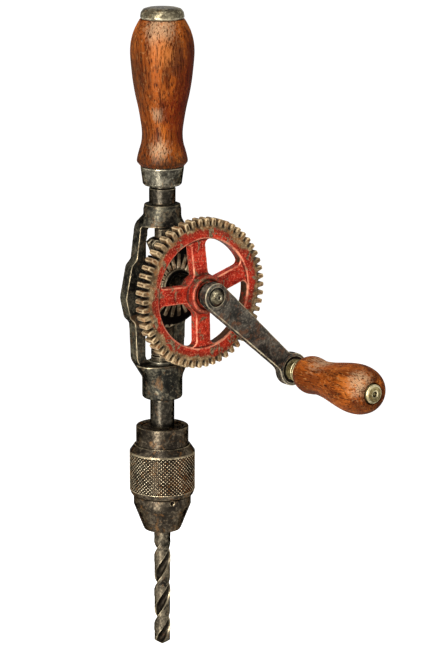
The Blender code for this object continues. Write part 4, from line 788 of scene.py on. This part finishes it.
def array_round(tool, count, rows=1, rise=0.0, stagger=0.0):
    """Repeat a tool's shape round Z, and up in rows, as a Geometry Nodes pattern made plain."""
    tree = bpy.data.node_groups.new("array round", "GeometryNodeTree")
    for side in ("INPUT", "OUTPUT"):
        tree.interface.new_socket("Geometry", in_out=side, socket_type="NodeSocketGeometry")
    settings = {}
    for label, kind, value in (
            ("Count", "Int", count), ("Rows", "Int", rows), ("Rise", "Float", rise * MM),
            ("Stagger", "Float", stagger), ("Finish", "Material", tool.data.materials[0])):
        item = tree.interface.new_socket(label, in_out="INPUT", socket_type="NodeSocket" + kind)
        settings[item.identifier] = value
    given = tree.nodes.new("NodeGroupInput").outputs

    def math(operation, *values):
        return add_node(tree, "ShaderNodeMath", dict(enumerate(values)), operation=operation)

    index = add_node(tree, "GeometryNodeInputIndex", {})
    row = math("FLOOR", math("DIVIDE", math("ADD", index, 0.5), given["Count"]))
    column = math("SUBTRACT", index, math("MULTIPLY", row, given["Count"]))
    angle = math("ADD", math("MULTIPLY", math("DIVIDE", column, given["Count"]), 2 * pi),
                 math("MULTIPLY", math("MODULO", row, 2.0), given["Stagger"]))
    lift = add_node(tree, "ShaderNodeCombineXYZ", {"Z": math("MULTIPLY", row, given["Rise"])})
    spots = add_node(tree, "GeometryNodePoints",
                     {"Count": math("MULTIPLY", given["Count"], given["Rows"]), "Position": lift})
    turn = add_node(tree, "ShaderNodeCombineXYZ", {"Z": angle})
    spin = add_node(tree, "FunctionNodeEulerToRotation", {0: turn})
    copies = add_node(tree, "GeometryNodeInstanceOnPoints",
                      {"Points": spots, "Instance": given["Geometry"], "Rotation": spin})
    real = add_node(tree, "GeometryNodeRealizeInstances", {0: copies})
    coat = add_node(tree, "GeometryNodeSetMaterial", {"Geometry": real, "Material": given["Finish"]})
    tree.links.new(coat, tree.nodes.new("NodeGroupOutput").inputs[0])
    pattern = tool.modifiers.new("array round", "NODES")
    pattern.node_group = tree
    for identifier, value in settings.items():
        pattern[identifier] = value
    settled(tool)
    bpy.data.node_groups.remove(tree)
    return tool


def as_shape(obj):
    """Take an object back to a bare shape, so that it can be part of another piece."""
    shape = bmesh.new()
    shape.from_mesh(obj.data)
    bpy.data.meshes.remove(obj.data)
    return shape


def spoke_window(turn, step):
    """Outline of the opening from one spoke to the next, with its four corners rounded."""
    far = rim_r - SPOKE_CORNER
    near = HUB_R + SPOKE_RECESS + SPOKE_CORNER
    wide = degrees(asin((SPOKE_HALF + SPOKE_CORNER) / far))
    tight = degrees(asin((SPOKE_HALF + SPOKE_CORNER) / near))

    def corner(radius, angle, start, end):
        return arc(radius * cos(radians(angle)), radius * sin(radians(angle)), SPOKE_CORNER, start, end, 8)

    return (corner(far, turn + wide, turn - 90.0, turn + wide)
            + arc(0.0, 0.0, rim_r, turn + wide, turn + step - wide, 24)[1:-1]
            + corner(far, turn + step - wide, turn + step - wide, turn + step + 90.0)
            + corner(near, turn + step - tight, turn + step + 90.0, turn + step - tight + 180.0)
            + corner(near, turn + tight, turn + tight + 180.0, turn + 270.0))


PAINT = painted("worn red enamel")
pitch = 2 * pi / WHEEL_TEETH
tooth_side = [(root_r - 1.0, -0.38 * pitch), (root_r + 0.2, -0.36 * pitch), (root_r + 2.2, -0.30 * pitch),
              (wheel_r - 0.05, -0.22 * pitch)]
tooth_side += [(r, -a) for r, a in reversed(tooth_side)]
tooth_shape = slab(([(r * cos(a), r * sin(a)) for r, a in tooth_side],), -WHEEL_FRONT, -rim_back)
tooth = piece("wheel_tooth", PAINT, shifted(tooth_shape, Matrix.Rotation(radians(-90.0), 4, "X")))
web_outlines = [arc(0.0, 0.0, rim_r + 0.8, 0.0, 360.0, 96)[:-1]]
for turn, after in zip(SPOKE_ANGLES, SPOKE_ANGLES[1:] + (SPOKE_ANGLES[0] + 360.0,)):
    web_outlines.append(spoke_window(turn, after - turn))
wheel = piece(
    "cast_wheel", PAINT, forward(as_shape(array_round(tooth, WHEEL_TEETH))),
    slab(web_outlines, SPOKE_RECESS - WHEEL_FRONT, -SPOKE_RECESS - rim_back),
    forward(lathed([(rim_r, rim_back, 0.5), (root_r, rim_back, 0.3), (root_r, WHEEL_FRONT, 0.3),
                    (rim_r, WHEEL_FRONT, 1.2)], 216)),
    forward(lathed([(HUB_R, hub_back, 0.8), (HUB_R, hub_face, 0.9), (HUB_LIP_R, hub_face, 0.5),
                    (HUB_DISH_R, hub_face - HUB_DISH_DEEP, 0.5),
                    (HUB_CORE_R, hub_face - HUB_DISH_DEEP, 0.0), (HUB_CORE_R, hub_back, 0.5)])))
fused(wheel, WHEEL_VOXEL, 2)
bored(wheel, forward(rod(SLEEVE_HOLE_R, HUB_BORE_BACK, HUB_BORE_FRONT)))
placed(wheel, "crank", "red_enamel", "gear_wheel", smooth=0.0, passes=1)


# Crank arm: drop-forged steel, ground on its face, with a boss at the axle and an eye for the
# grip's pin.  A domed screw in a spotface holds it on.
ARM_ANGLE = radians(41.6)
ARM_REACH = 76.2
ARM_BACK, ARM_THICK, SHANK_DROP = 46.2, 5.8, 0.35
ARM_HUB_R, ARM_EYE_R, ARM_NARROW = 8.1, 9.8, 5.9
ARM_VOXEL = 0.38
BEHIND_ARM, BEFORE_ARM = 40.0, 60.0
STUD_SEAT_R, STUD_SEAT_END = 4.3, 48.0
SPOTFACE_R, SPOTFACE_DEEP = 5.7, 1.2
PIN_R, PIN_HOLE_R, PIN_HEAD_DEEP = 3.0, 3.0 + GAP, 2.0
EYE_SINK_R, EYE_SINK_DEEP = 8.0, 0.8
SCREW_R, SCREW_END = 2.4, 36.7
ARM_STEEL = patina("forged arm steel", (44, 43, 40), (80, 76, 69), (124, 116, 102), (108, 74, 54),
                   (188, 174, 144), rusty=0.60, metallic=0.5, polish=0.34, edge=(0.10, 0.26))
RUBBED_STEEL = patina("rubbed steel", (58, 52, 40), (106, 97, 77), (164, 154, 126), (108, 80, 50),
                      (214, 204, 176), rusty=0.66, metallic=0.7, polish=0.24, edge=(0.16, 0.36), rim=0.55)
arm_front = ARM_BACK + ARM_THICK
arm_hub_r, arm_eye_r = ARM_HUB_R - 0.1, ARM_EYE_R - 0.1
eye = Matrix.Translation((ARM_REACH * MM, 0.0, 0.0))
meet = degrees(asin(ARM_NARROW / ARM_EYE_R))
waist = ARM_REACH - ARM_EYE_R * cos(radians(meet))


def arm_end(radius, rounding):
    """A disc as thick as the arm, with its front edge rounded."""
    return forward(lathed([(0.0, ARM_BACK, 0.0), (radius, ARM_BACK, 0.4), (radius, arm_front, rounding),
                           (0.0, arm_front, 0.0)]))


arm_edge = [(waist - 0.6, ARM_NARROW + 0.2), (waist - 3.0, ARM_NARROW - 0.1), (6.0, ARM_HUB_R - 0.25)]
arm_outline = (arc(0.0, 0.0, arm_hub_r, 92.0, 268.0, 24) + [(x, -z) for x, z in reversed(arm_edge)]
               + arc(ARM_REACH, 0.0, arm_eye_r, meet - 180.0, 180.0 - meet, 40)[1:-1] + arm_edge)
arm = piece("forged_arm", ARM_STEEL, slab((arm_outline,), SHANK_DROP - arm_front, -ARM_BACK),
            arm_end(arm_hub_r, 0.9), shifted(arm_end(arm_eye_r, 0.8), eye))
fused(arm, ARM_VOXEL, 2)
bored(arm, forward(rod(STUD_SEAT_R, BEHIND_ARM, STUD_SEAT_END)),
      forward(rod(SCREW_HOLE_R, BEHIND_ARM, BEFORE_ARM)),
      forward(rod(SPOTFACE_R, arm_front - SPOTFACE_DEEP, BEFORE_ARM)),
      shifted(forward(rod(PIN_HOLE_R, BEHIND_ARM, BEFORE_ARM)), eye),
      shifted(forward(rod(EYE_SINK_R, arm_front - EYE_SINK_DEEP, BEFORE_ARM)), eye))
arm.data.transform(Matrix.Rotation(ARM_ANGLE, 4, "Y"))
placed(arm, "crank", "worn_steel", "crank_arm", smooth=50.0, passes=1)
_, screw_front, screw_r = lying("crank_screw")
screw_seat = arm_front - SPOTFACE_DEEP + GAP
screw = piece("domed_screw", RUBBED_STEEL, forward(lathed([
    (0.0, SCREW_END, 0.0), (SCREW_R, SCREW_END, 0.3), (SCREW_R, screw_seat, 0.1), (screw_r, screw_seat, 0.2),
    (screw_r, screw_seat + 1.0, 0.7), (screw_r * 0.78, screw_front - 0.9, 1.4),
    (screw_r * 0.30, screw_front, 0.5), (screw_r * 0.16, screw_front - 0.8, 0.2),
    (0.0, screw_front - 0.9, 0.0)])))
placed(screw, "drill", "worn_steel", "crank_screw")
pin_back, pin_front, pin_head_r = lying("grip_pin")
pin_middle = (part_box("grip_pin")[0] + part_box("grip_pin")[1]) / 2.0
at_eye = Matrix.Translation((pin_middle.x, 0.0, pin_middle.z - AXLE.z))
pin = piece("pivot_pin", PLAIN_STEEL, shifted(forward(lathed([
    (0.0, pin_back, 0.0), (pin_head_r - 0.2, pin_back, 0.6), (pin_head_r, pin_back + PIN_HEAD_DEEP, 0.3),
    (PIN_R, pin_back + PIN_HEAD_DEEP, 0.1), (PIN_R, pin_front, 0.4), (0.0, pin_front, 0.0)])), at_eye))
placed(pin, "crank", "worn_steel", "grip_pin")


# Grip: a turned hardwood knob with a brass ferrule, free to spin on its pin.  A round brass nut
# closes the pin in a bore in the end of the wood.
GRIP_SHARES = ((0.0, 0.480), (0.020, 0.590), (0.070, 0.710), (0.130, 0.770), (0.190, 0.755),
               (0.260, 0.712), (0.330, 0.718), (0.430, 0.770), (0.550, 0.870), (0.670, 0.962),
               (0.770, 1.000), (0.860, 0.965), (0.930, 0.865), (0.975, 0.740), (1.0, 0.620))
NUT_WELL_R, NUT_WELL_DEEP = 6.4, 4.5
GRIP_CUFF_R, CUFF_GROOVE_R = 6.3, 5.9
# Tones laid on the wood at given spots: a pale and a golden painted highlight, a dark brown painted shade
# that also serves for darker spots, and a deep red painted shade.
WOOD_HIGHLIGHT, WOOD_SHADE_AND_STAIN = (184, 148, 112), (66, 42, 28)
WOOD_RED_SHADE, WOOD_GOLDEN_HIGHLIGHT = (98, 26, 10), (188, 110, 52)
# On the grip: painted highlights on the top, painted shade on the underside and on the right side near the
# end.
GRIP_LIGHT_AND_SHADE = ((-8.0, -120.0, 8.0, 12.0, WOOD_HIGHLIGHT), (2.0, -122.0, -17.0, 23.0, WOOD_SHADE_AND_STAIN),
              (0.0, -76.0, -14.0, 19.0, WOOD_SHADE_AND_STAIN), (0.0, -98.0, -14.0, 16.0, WOOD_SHADE_AND_STAIN),
              (0.0, -80.0, 13.0, 16.0, WOOD_HIGHLIGHT), (9.0, -134.0, 8.0, 8.0, WOOD_RED_SHADE))


def flowing(points, steps=5):
    """A smooth curve through points, each stretch of it a cubic that its neighbours steer."""
    spots = [Vector(p) for p in points]
    spots = [2 * spots[0] - spots[1]] + spots + [2 * spots[-1] - spots[-2]]
    curve = []
    for a, b, c, d in zip(spots, spots[1:], spots[2:], spots[3:]):
        for i in range(steps):
            t = i / steps
            curve.append(tuple(0.5 * (2 * b + (c - a) * t + (2 * a - 5 * b + 4 * c - d) * t * t
                                      + (3 * b - a - 3 * c + d) * t ** 3)))
    return curve + [tuple(points[-1])]


def hardwood(name, along, light_shade_and_stain_spots):
    """Orange-brown hardwood with dark pores along the grain, flecks and rubbed varnish, and painted
    highlights and shade laid at the given spots.
    """
    def drawn_out(share):
        return tuple(share if a else 1.0 for a in along)

    f = Finish(name, drawn_out(0.07))
    wide = f.scaled(drawn_out(0.22))
    fibre = f.noise(1100.0, 4.0, 0.65)
    streak = f.noise(230.0, 4.0, 0.6, 0.5)
    patch = f.noise(105.0, 4.0, 0.55, 0.6, wide)
    fleck = f.noise(640.0, 4.0, 0.7, 0.0, f.scaled(drawn_out(0.6)))
    pores = f.band(f.noise(1700.0, 3.0, 0.55), 0.55, 0.62)
    colour = f.mix(f.band(streak, 0.34, 0.66), (88, 38, 12), (162, 82, 27))
    colour = f.patched(
        colour, (patch, 0.52, 0.66, 0.65, (208, 116, 44)), (patch, 0.46, 0.34, 0.6, (88, 36, 14)),
        (fibre, 0.50, 0.70, 0.35, (60, 24, 8)), (fleck, 0.54, 0.68, 0.5, (212, 146, 82)),
        (fleck, 0.44, 0.32, 0.5, (66, 26, 10)))
    rubbed = f.band(f.sum(f.noise(300.0, 6.0, 0.75, 0.8, wide), f.times(fibre, 0.25)), 0.70, 0.80)
    colour = f.over(colour, (170, 128, 86), rubbed, 0.25)
    # Painted highlights and shade, and some darker spots, laid round the given spots and broken up by the
    # grain.
    for spot, reach, overlay in light_shade_and_stain_spots:
        near = f.band(f.distance((1.0, 1.0, 0.8), spot), reach, 0.2 * reach)
        broken = f.band(f.sum(fleck, f.times(fibre, 0.4), f.times(near, 0.15)), 0.64, 0.88)
        colour = f.over(colour, overlay, near, broken, 0.8)
    colour = f.over(colour, (42, 18, 8), pores, 0.85)
    f.bump(f.times(pores, -1.0), 0.18, 0.8)
    f.bump(f.sum(fibre, f.times(fleck, 0.7)), 0.12, 0.7)
    rough = f.sum(f.band(fleck, 0.3, 0.7, 0.40, 0.50), f.times(rubbed, 0.1), f.times(pores, 0.2))
    return f.done(colour, rough, 0.05, coat=0.10)


def side_view(shares, radius, low, high):
    """A flowing side view through shares of a piece's radius along its length."""
    return flowing([(share * radius, low + along * (high - low)) for along, share in shares])


def on_pin(shape):
    """Lay a shape turned about Z onto the grip's pin."""
    return shifted(forward(shape), at_eye)


wood_back, wood_front, swell_r = lying("crank_grip")
ferrule_back, ferrule_front, ferrule_r = lying("grip_ferrule")
grip_nut_back, grip_nut_front, grip_nut_r = lying("grip_nut")
# The grip's wood, with painted highlights and shade at its spots.
GRIP_WOOD = hardwood("grip hardwood", (False, True, False), [
    (at_eye @ Vector((x * MM, y * MM, AXLE.z + z * MM)), reach, overlay)
    for x, y, z, reach, overlay in GRIP_LIGHT_AND_SHADE])
OLD_BRASS = patina("old brass", (64, 56, 36), (122, 108, 70), (170, 156, 110), (110, 80, 40),
                   (210, 198, 160), rusty=0.62, metallic=0.6, polish=0.30)
grip_side = [(PIN_HOLE_R, wood_back)] + side_view(GRIP_SHARES, swell_r, wood_back, wood_front)
well_floor = wood_front - NUT_WELL_DEEP
grip_side += eased([(8.0, wood_front, 0.0), (NUT_WELL_R, wood_front, 0.4), (NUT_WELL_R, well_floor, 0.2),
                    (PIN_HOLE_R, well_floor, 0.0)])
grip_wood = piece("grip_wood", GRIP_WOOD, on_pin(turned(grip_side, 128)))
placed(grip_wood, "grip", "varnished_hardwood", "crank_grip")
grip_ferrule = piece("brass_ferrule", OLD_BRASS, on_pin(lathed([
    (PIN_HOLE_R, ferrule_back, 0.1), (GRIP_CUFF_R, ferrule_back, 0.3),
    (GRIP_CUFF_R, ferrule_front - 3.0, 0.2), (CUFF_GROOVE_R, ferrule_front - 2.6, 0.2),
    (CUFF_GROOVE_R, ferrule_front - 2.0, 0.2), (ferrule_r, ferrule_front - 1.6, 0.3),
    (ferrule_r, ferrule_front, 0.3), (PIN_HOLE_R, ferrule_front, 0.1)])))
placed(grip_ferrule, "grip", "old_brass", "grip_ferrule")
grip_nut = piece("brass_nut", OLD_BRASS, on_pin(lathed([
    (PIN_HOLE_R, grip_nut_back, 0.1), (grip_nut_r, grip_nut_back, 0.2),
    (grip_nut_r, grip_nut_front - 1.1, 0.5), (grip_nut_r * 0.84, grip_nut_front - 0.2, 0.5),
    (grip_nut_r * 0.34, grip_nut_front, 0.4),
    (grip_nut_r * 0.22, grip_nut_front - 0.8, 0.2), (0.0, grip_nut_front - 0.9, 0.0),
    (0.0, pin_front + GAP, 0.0), (PIN_HOLE_R, pin_front + GAP, 0.1)])))
placed(grip_nut, "crank", "old_brass", "grip_nut")


# Handle: a steel rod from the top collar carries a tapered ferrule, the turned hardwood and the
# cap that clamps it all together.
HANDLE_SHARES = ((0.0, 0.700), (0.012, 0.745), (0.035, 0.800), (0.100, 0.735), (0.150, 0.668),
                 (0.200, 0.640), (0.250, 0.645), (0.320, 0.690), (0.400, 0.755), (0.480, 0.838),
                 (0.560, 0.905), (0.640, 0.952), (0.740, 0.995), (0.800, 1.000), (0.860, 0.968),
                 (0.920, 0.890), (0.970, 0.780), (1.0, 0.700))
# Spots on the handle: painted highlights where the lamps fall, pale and golden in the middle, painted shade
# in dark brown on the left and in deep red on the right, and darker spots at the front.
HANDLE_LIGHT_SHADE_AND_STAINS = ((-40.0, 14.0, 148.0, 14.0, WOOD_HIGHLIGHT), (-12.0, 17.0, 132.0, 15.0, WOOD_SHADE_AND_STAIN),
                (-44.0, 12.0, 78.0, 10.0, WOOD_HIGHLIGHT), (-48.0, 13.0, 100.0, 6.0, WOOD_HIGHLIGHT),
                (-40.0, 16.0, 62.0, 13.0, WOOD_SHADE_AND_STAIN), (-122.0, 19.0, 120.0, 30.0, WOOD_SHADE_AND_STAIN),
                (-122.0, 14.0, 84.0, 18.0, WOOD_SHADE_AND_STAIN), (44.0, 19.0, 122.0, 27.0, WOOD_RED_SHADE),
                (44.0, 14.0, 84.0, 18.0, WOOD_RED_SHADE), (8.0, 14.0, 101.0, 20.0, WOOD_RED_SHADE),
                (-36.0, 18.0, 136.0, 12.0, WOOD_GOLDEN_HIGHLIGHT))
# Darker round the front of the foot.
FOOT_DARKENING = tuple((turn, 17.0, 70.0, 10.0, WOOD_SHADE_AND_STAIN) for turn in (-90.0, -64.0, -38.0, -12.0, 14.0))
ROD_SPIGOT_R, TANG_R, CAP_SPIGOT_R = 6.2, 3.9, 6.5
TANG_HOLE_R = TANG_R + GAP
FERRULE_WALL = 1.6
rod_foot, tang_top, neck_r = standing("handle_rod")
ferrule_foot, ferrule_top, ferrule_high_r = standing("handle_ferrule")
_, wood_top, handle_r = standing("handle_grip")
cap_foot, cap_top, cap_r = standing("handle_cap")
wood_foot = ferrule_top + GAP
neck_foot = TOP_END + GAP
ferrule_low_r = ferrule_high_r - 1.3
neck = piece("turned_rod", SHAFT_STEEL, lathed([
    (0.0, rod_foot, 0.0), (ROD_SPIGOT_R, rod_foot, 0.4), (ROD_SPIGOT_R, neck_foot, 0.1),
    (neck_r, neck_foot, 0.5), (neck_r, ferrule_foot - 1.9, 0.4), (neck_r - 0.6, ferrule_foot - 1.5, 0.3),
    (neck_r - 0.6, ferrule_foot - GAP, 0.2), (TANG_R, ferrule_foot - GAP, 0.1), (TANG_R, tang_top, 0.4),
    (0.0, tang_top, 0.0)]))
placed(neck, "drill", "worn_steel", "handle_rod")
handle_ferrule = piece("steel_ferrule", PLAIN_STEEL, lathed([
    (TANG_HOLE_R, ferrule_foot, 0.1), (ferrule_low_r - 0.9, ferrule_foot, 0.3),
    (ferrule_low_r, ferrule_foot + 1.0, 0.5), (ferrule_high_r, ferrule_top - 0.7, 0.5),
    (ferrule_high_r - 0.7, ferrule_top, 0.3), (ferrule_low_r - FERRULE_WALL, ferrule_top, 0.1),
    (ferrule_low_r - FERRULE_WALL, ferrule_foot + FERRULE_WALL, 0.2),
    (TANG_HOLE_R, ferrule_foot + FERRULE_WALL, 0.1)]))
placed(handle_ferrule, "drill", "worn_steel", "handle_ferrule")
# The handle's wood, with painted highlights and shade at its spots.
HANDLE_WOOD = hardwood("handle hardwood", (False, False, True), [
    (AXLE + towards(turn, 0.0) * (r * MM) + Vector((0.0, 0.0, z * MM)), reach, overlay)
    for turn, r, z, reach, overlay in HANDLE_LIGHT_SHADE_AND_STAINS + FOOT_DARKENING])
tenon_r = ferrule_low_r - FERRULE_WALL - GAP
tenon_foot = ferrule_foot + FERRULE_WALL + GAP
handle_wood = piece("handle_wood", HANDLE_WOOD, turned(
    [(TANG_HOLE_R, tenon_foot), (tenon_r, tenon_foot), (tenon_r, wood_foot)]
    + side_view(HANDLE_SHARES, handle_r, wood_foot, wood_top)
    + [(CAP_SPIGOT_R + GAP, wood_top), (CAP_SPIGOT_R + GAP, cap_foot - GAP),
       (TANG_HOLE_R, cap_foot - GAP)], 128))
placed(handle_wood, "drill", "varnished_hardwood", "handle_grip")
cap = piece("steel_cap", RUBBED_STEEL, lathed([
    (TANG_HOLE_R, cap_foot, 0.1), (CAP_SPIGOT_R, cap_foot, 0.2), (CAP_SPIGOT_R, wood_top + GAP, 0.1),
    (cap_r - 0.5, wood_top + GAP, 0.3), (cap_r, wood_top + 1.4, 0.6), (cap_r - 0.4, cap_top - 2.9, 1.4),
    (cap_r - 1.8, cap_top - 1.0, 1.6), (8.4, cap_top - 0.25, 3.0), (3.0, cap_top, 3.0), (0.0, cap_top, 0.0),
    (0.0, tang_top + GAP, 0.0), (TANG_HOLE_R, tang_top + GAP, 0.1)], 128))
placed(cap, "drill", "worn_steel", "handle_cap")


# Chuck: a turned body screwed onto the spindle, with three jaws in slanted holes.  The knurled
# sleeve turns a split nut on the jaws' threads; a key hole in the ring locks the body.
DISH_R, COLLAR_R, CORE_R, NUT_ROOM_R, NOSE_R = 13.0, 15.4, 16.6, 12.6, 11.3
NUT_ROOM_HIGH, RING_HIGH, SLEEVE_LIP = 6.4, 5.7, 2.8
JAW_SLANT, JAW_TURN, JAW_OFFSET, JAW_R = 12.5, -84.0, 5.4, 2.9
KEY_TURN, KEY_R = -106.0, 1.4
CHUCK_HOLE_R = 5.3
CHUCK_VOXEL = 0.42
SLEEVE_MOUTH_R, SLEEVE_FOOT_R = 16.0, 18.2
KNURL_COUNT, KNURL_ROWS, KNURL_DEEP = 52, 21, 0.6
KNURL_BELOW_TOP, KNURL_ABOVE_FOOT = 5.2, 3.2
CHUCK_STEEL = patina("chuck steel", (34, 30, 25), (59, 52, 43), (95, 85, 70), (102, 72, 43),
                     (196, 178, 144), rusty=0.64, metallic=0.8, polish=0.29, edge=(0.18, 0.40), rim=0.3)
sleeve_foot, sleeve_top, sleeve_r = standing("chuck_sleeve")
ring_r = chuck_r - 0.1
ring_top = sleeve_foot - GAP
ring_foot = ring_top - RING_HIGH
nut_room_top = ring_top + NUT_ROOM_HIGH
core_top = sleeve_top - SLEEVE_LIP - GAP
chuck = piece("turned_chuck", CHUCK_STEEL, lathed([
    (0.0, chuck_top - 1.0, 0.0), (DISH_R - 1.0, chuck_top - 1.0, 0.4), (DISH_R, chuck_top, 0.4),
    (COLLAR_R, chuck_top, 0.9), (COLLAR_R, core_top, 0.1), (CORE_R, core_top, 0.1),
    (CORE_R, nut_room_top, 0.1), (NUT_ROOM_R, nut_room_top, 0.1), (NUT_ROOM_R, ring_top, 0.1),
    (ring_r, ring_top, 1.4), (ring_r, ring_foot, 0.4), (NOSE_R, chuck_foot + 1.8, 0.7),
    (NOSE_R - 0.7, chuck_foot + 0.5, 0.4), (NOSE_R - 1.8, chuck_foot, 0.4), (0.0, chuck_foot, 0.0)], 128))
fused(chuck, CHUCK_VOXEL, 1)
jaw_tools = []
for jaw in range(3):
    leaning = (Matrix.Rotation(radians(JAW_TURN + 120.0 * jaw), 4, "Z")
               @ Matrix.Translation((JAW_OFFSET * MM, 0.0, chuck_foot * MM))
               @ Matrix.Rotation(radians(JAW_SLANT), 4, "Y"))
    jaw_tools.append(shifted(rod(JAW_R, -4.0, 37.0, 48), leaning))
key_place = (Matrix.Rotation(radians(KEY_TURN), 4, "Z")
             @ Matrix.Translation((0.0, 0.0, (ring_top - 2.0) * MM))
             @ Matrix.Rotation(radians(90.0), 4, "Y"))
bored(chuck, rod(CHUCK_HOLE_R, chuck_foot - 2.0, chuck_top + 2.0), *jaw_tools,
      shifted(rod(KEY_R, chuck_r - 3.0, chuck_r + 2.0, 32), key_place))
placed(chuck, "spindle", "worn_steel", "chuck_body", smooth=0.0, passes=1)
carried(SHAFT_STEEL, "jaw_1", "jaw_2", "jaw_3", "chuck_nut_a", "chuck_nut_b")

knurl_r = sleeve_r - KNURL_DEEP
knurl_top, knurl_foot = sleeve_top - KNURL_BELOW_TOP, sleeve_foot + KNURL_ABOVE_FOOT
sleeve = piece("knurled_sleeve", CHUCK_STEEL, lathed([
    (SLEEVE_MOUTH_R, sleeve_top, 0.1), (SLEEVE_MOUTH_R + 0.4, sleeve_top - 0.1, 0.4),
    (sleeve_r - 0.1, sleeve_top - 4.1, 0.5), (sleeve_r - 0.1, knurl_top + 0.2, 0.2),
    (knurl_r, knurl_top - 0.3, 0.1), (knurl_r, knurl_foot + 0.3, 0.1),
    (sleeve_r - 0.25, knurl_foot - 0.2, 0.4), (sleeve_r - 0.35, sleeve_foot + 2.1, 1.6),
    (SLEEVE_FOOT_R, sleeve_foot, 1.2), (CORE_R + GAP, sleeve_foot, 0.1),
    (CORE_R + GAP, core_top + GAP, 0.1), (SLEEVE_MOUTH_R, core_top + GAP, 0.1)], 128))
placed(sleeve, "sleeve", "worn_steel", "chuck_sleeve")


def knurl_finish(name):
    """Grooves between diamond points, dark with grease and painted shade; points that handling has polished,
    with rust spots.
    """
    f = Finish(name)
    colour, broad, fine, _ = mottled(f, (52, 47, 38), (100, 90, 73), (142, 130, 106), (132, 92, 50),
                                     rusty=0.58)
    rusty_side = AXLE + towards(-4.0, 0.0) * 18.0 * MM + Vector((0.0, 0.0, (knurl_foot + 8.0) * MM))
    brown = f.band(f.distance((1.0, 1.0, 0.6), rusty_side), 22.0, 8.0)
    colour = f.over(colour, (112, 70, 34), brown, f.band(broad, 0.30, 0.55), 0.85)
    height = f.band(f.distance((1.0, 1.0, 0.0), ORIGIN), knurl_r + 0.1, sleeve_r - 0.05)
    # Grease and painted shade in the grooves below the points.
    colour = f.mix(height, GRIME_AND_SHADE, colour)
    rubbed = f.band(f.noise(300.0, 4.0, 0.7), 0.40, 0.56)
    colour = f.over(colour, (214, 200, 168), f.band(height, 0.80, 0.98), rubbed, 0.85)
    f.bump(fine, 0.08, 0.6)
    return f.done(colour, f.band(broad, 0.3, 0.7, 0.28, 0.38), 0.7)


def diamond(x, width, height):
    """A four-cornered section of a knurl point, at a distance x from the chuck's axis."""
    return [(x, width, 0.0), (x, 0.0, height), (x, -width, 0.0), (x, 0.0, -height)]


half_pitch = pi * sleeve_r / KNURL_COUNT
knurl_rise = (knurl_top - knurl_foot) / (KNURL_ROWS - 1)
root_x = knurl_r - 0.3
point_shape = lofted([[(root_x, 0.0, 0.0)], diamond(root_x, half_pitch * 1.15, knurl_rise * 1.15),
                      diamond(sleeve_r - 0.08, half_pitch * 0.26, knurl_rise * 0.26),
                      [(sleeve_r, 0.0, 0.0)]])
shifted(point_shape, Matrix.Translation((0.0, 0.0, knurl_foot * MM)))
knurl = piece("sleeve_knurl", knurl_finish("knurled steel"), point_shape)
array_round(knurl, KNURL_COUNT, KNURL_ROWS, knurl_rise, pi / KNURL_COUNT)
placed(knurl, "sleeve", "worn_steel", smooth=20.0)


# Twist bit: high-carbon steel, blackened when it was hardened.  Two right-hand flutes wind up
# it, and grinding has left the lands between them brighter.
BIT_LEAD = 42.5
BIT_PHASE = 12.0
BIT_PLAIN, BIT_RUN_OUT = 7.0, 8.0
FLUTE_R, FLUTE_OFFSET = 3.1, 4.9
LAND_RELIEF, MARGIN_SHARE = 0.22, 0.24
FLUTE_STEPS, LAND_STEPS, BODY_RINGS = 16, 20, 150
POINT_SLOPE = tan(radians(59.0))
bit_tip, bit_top, bit_r = standing("twist_bit")
flute_start = chuck_foot - BIT_PLAIN
flute_half = degrees(acos((FLUTE_OFFSET ** 2 + bit_r ** 2 - FLUTE_R ** 2) / (2.0 * FLUTE_OFFSET * bit_r)))


def bit_ring(z):
    """One cross-section: two round flutes, and lands that are relieved behind a narrow margin."""
    grown = min(max((flute_start - z) / BIT_RUN_OUT, 0.0), 1.0)
    depth = grown * grown * (3.0 - 2.0 * grown)
    twist = 2.0 * pi * (z - flute_start) / BIT_LEAD + radians(BIT_PHASE)
    most = max((z - bit_tip) * POINT_SLOPE, 0.02)
    section = []
    for start in (0.0, 180.0):
        for k in range(FLUTE_STEPS):
            a = radians(flute_half * (2.0 * k / FLUTE_STEPS - 1.0))
            r = FLUTE_OFFSET * cos(a) - sqrt(max(FLUTE_R ** 2 - (FLUTE_OFFSET * sin(a)) ** 2, 0.0))
            section.append((min(bit_r - (bit_r - r) * depth, most), radians(start) + a + twist))
        for k in range(LAND_STEPS):
            share = k / LAND_STEPS
            a = radians(flute_half + (180.0 - 2.0 * flute_half) * share)
            relief = LAND_RELIEF * depth * (1.0 if MARGIN_SHARE < share else 0.0)
            section.append((min(bit_r - relief, most), radians(start) + a + twist))
    return [(r * cos(a), r * sin(a), z) for r, a in section]


def bit_finish(name):
    """Blackened steel with dark flutes, rubbed lands and bright edges."""
    f = Finish(name)
    colour, broad, fine, _ = mottled(f, (26, 24, 20), (60, 55, 46), (112, 103, 86), (96, 66, 42), 1.1, 0.68)
    land = f.band(f.distance((1.0, 1.0, 0.0), ORIGIN), bit_r - 1.2, bit_r - 0.15)
    colour = f.over(colour, (20, 16, 12), f.sum(1.0, f.times(land, -1.0)), 0.85)
    colour = f.over(colour, (104, 92, 74), land, f.band(broad, 0.45, 0.65), 0.3)
    colour = f.over(colour, (176, 162, 134), f.worn(0.12, 0.32, 0.12), 0.75)
    f.bump(fine, 0.06, 0.5)
    return f.done(colour, f.band(broad, 0.3, 0.7, 0.36, 0.44), 0.8)


point_top = bit_tip + bit_r / POINT_SLOPE
heights = [bit_top, bit_top - 0.4, chuck_foot, chuck_foot - 1.0, (chuck_foot + flute_start) / 2.0]
heights += [flute_start]
heights += [flute_start + (point_top - flute_start) * (i + 1) / BODY_RINGS for i in range(BODY_RINGS)]
heights += [bit_tip + (point_top - bit_tip) * share for share in (0.8, 0.6, 0.4, 0.2, 0.06)]
bit = piece("fluted_bit", bit_finish("blackened bit steel"),
            lofted([[(0.0, 0.0, bit_top)]] + [bit_ring(z) for z in heights] + [[(0.0, 0.0, bit_tip)]]))
placed(bit, "spindle", "dark_steel", "twist_bit", smooth=35.0)
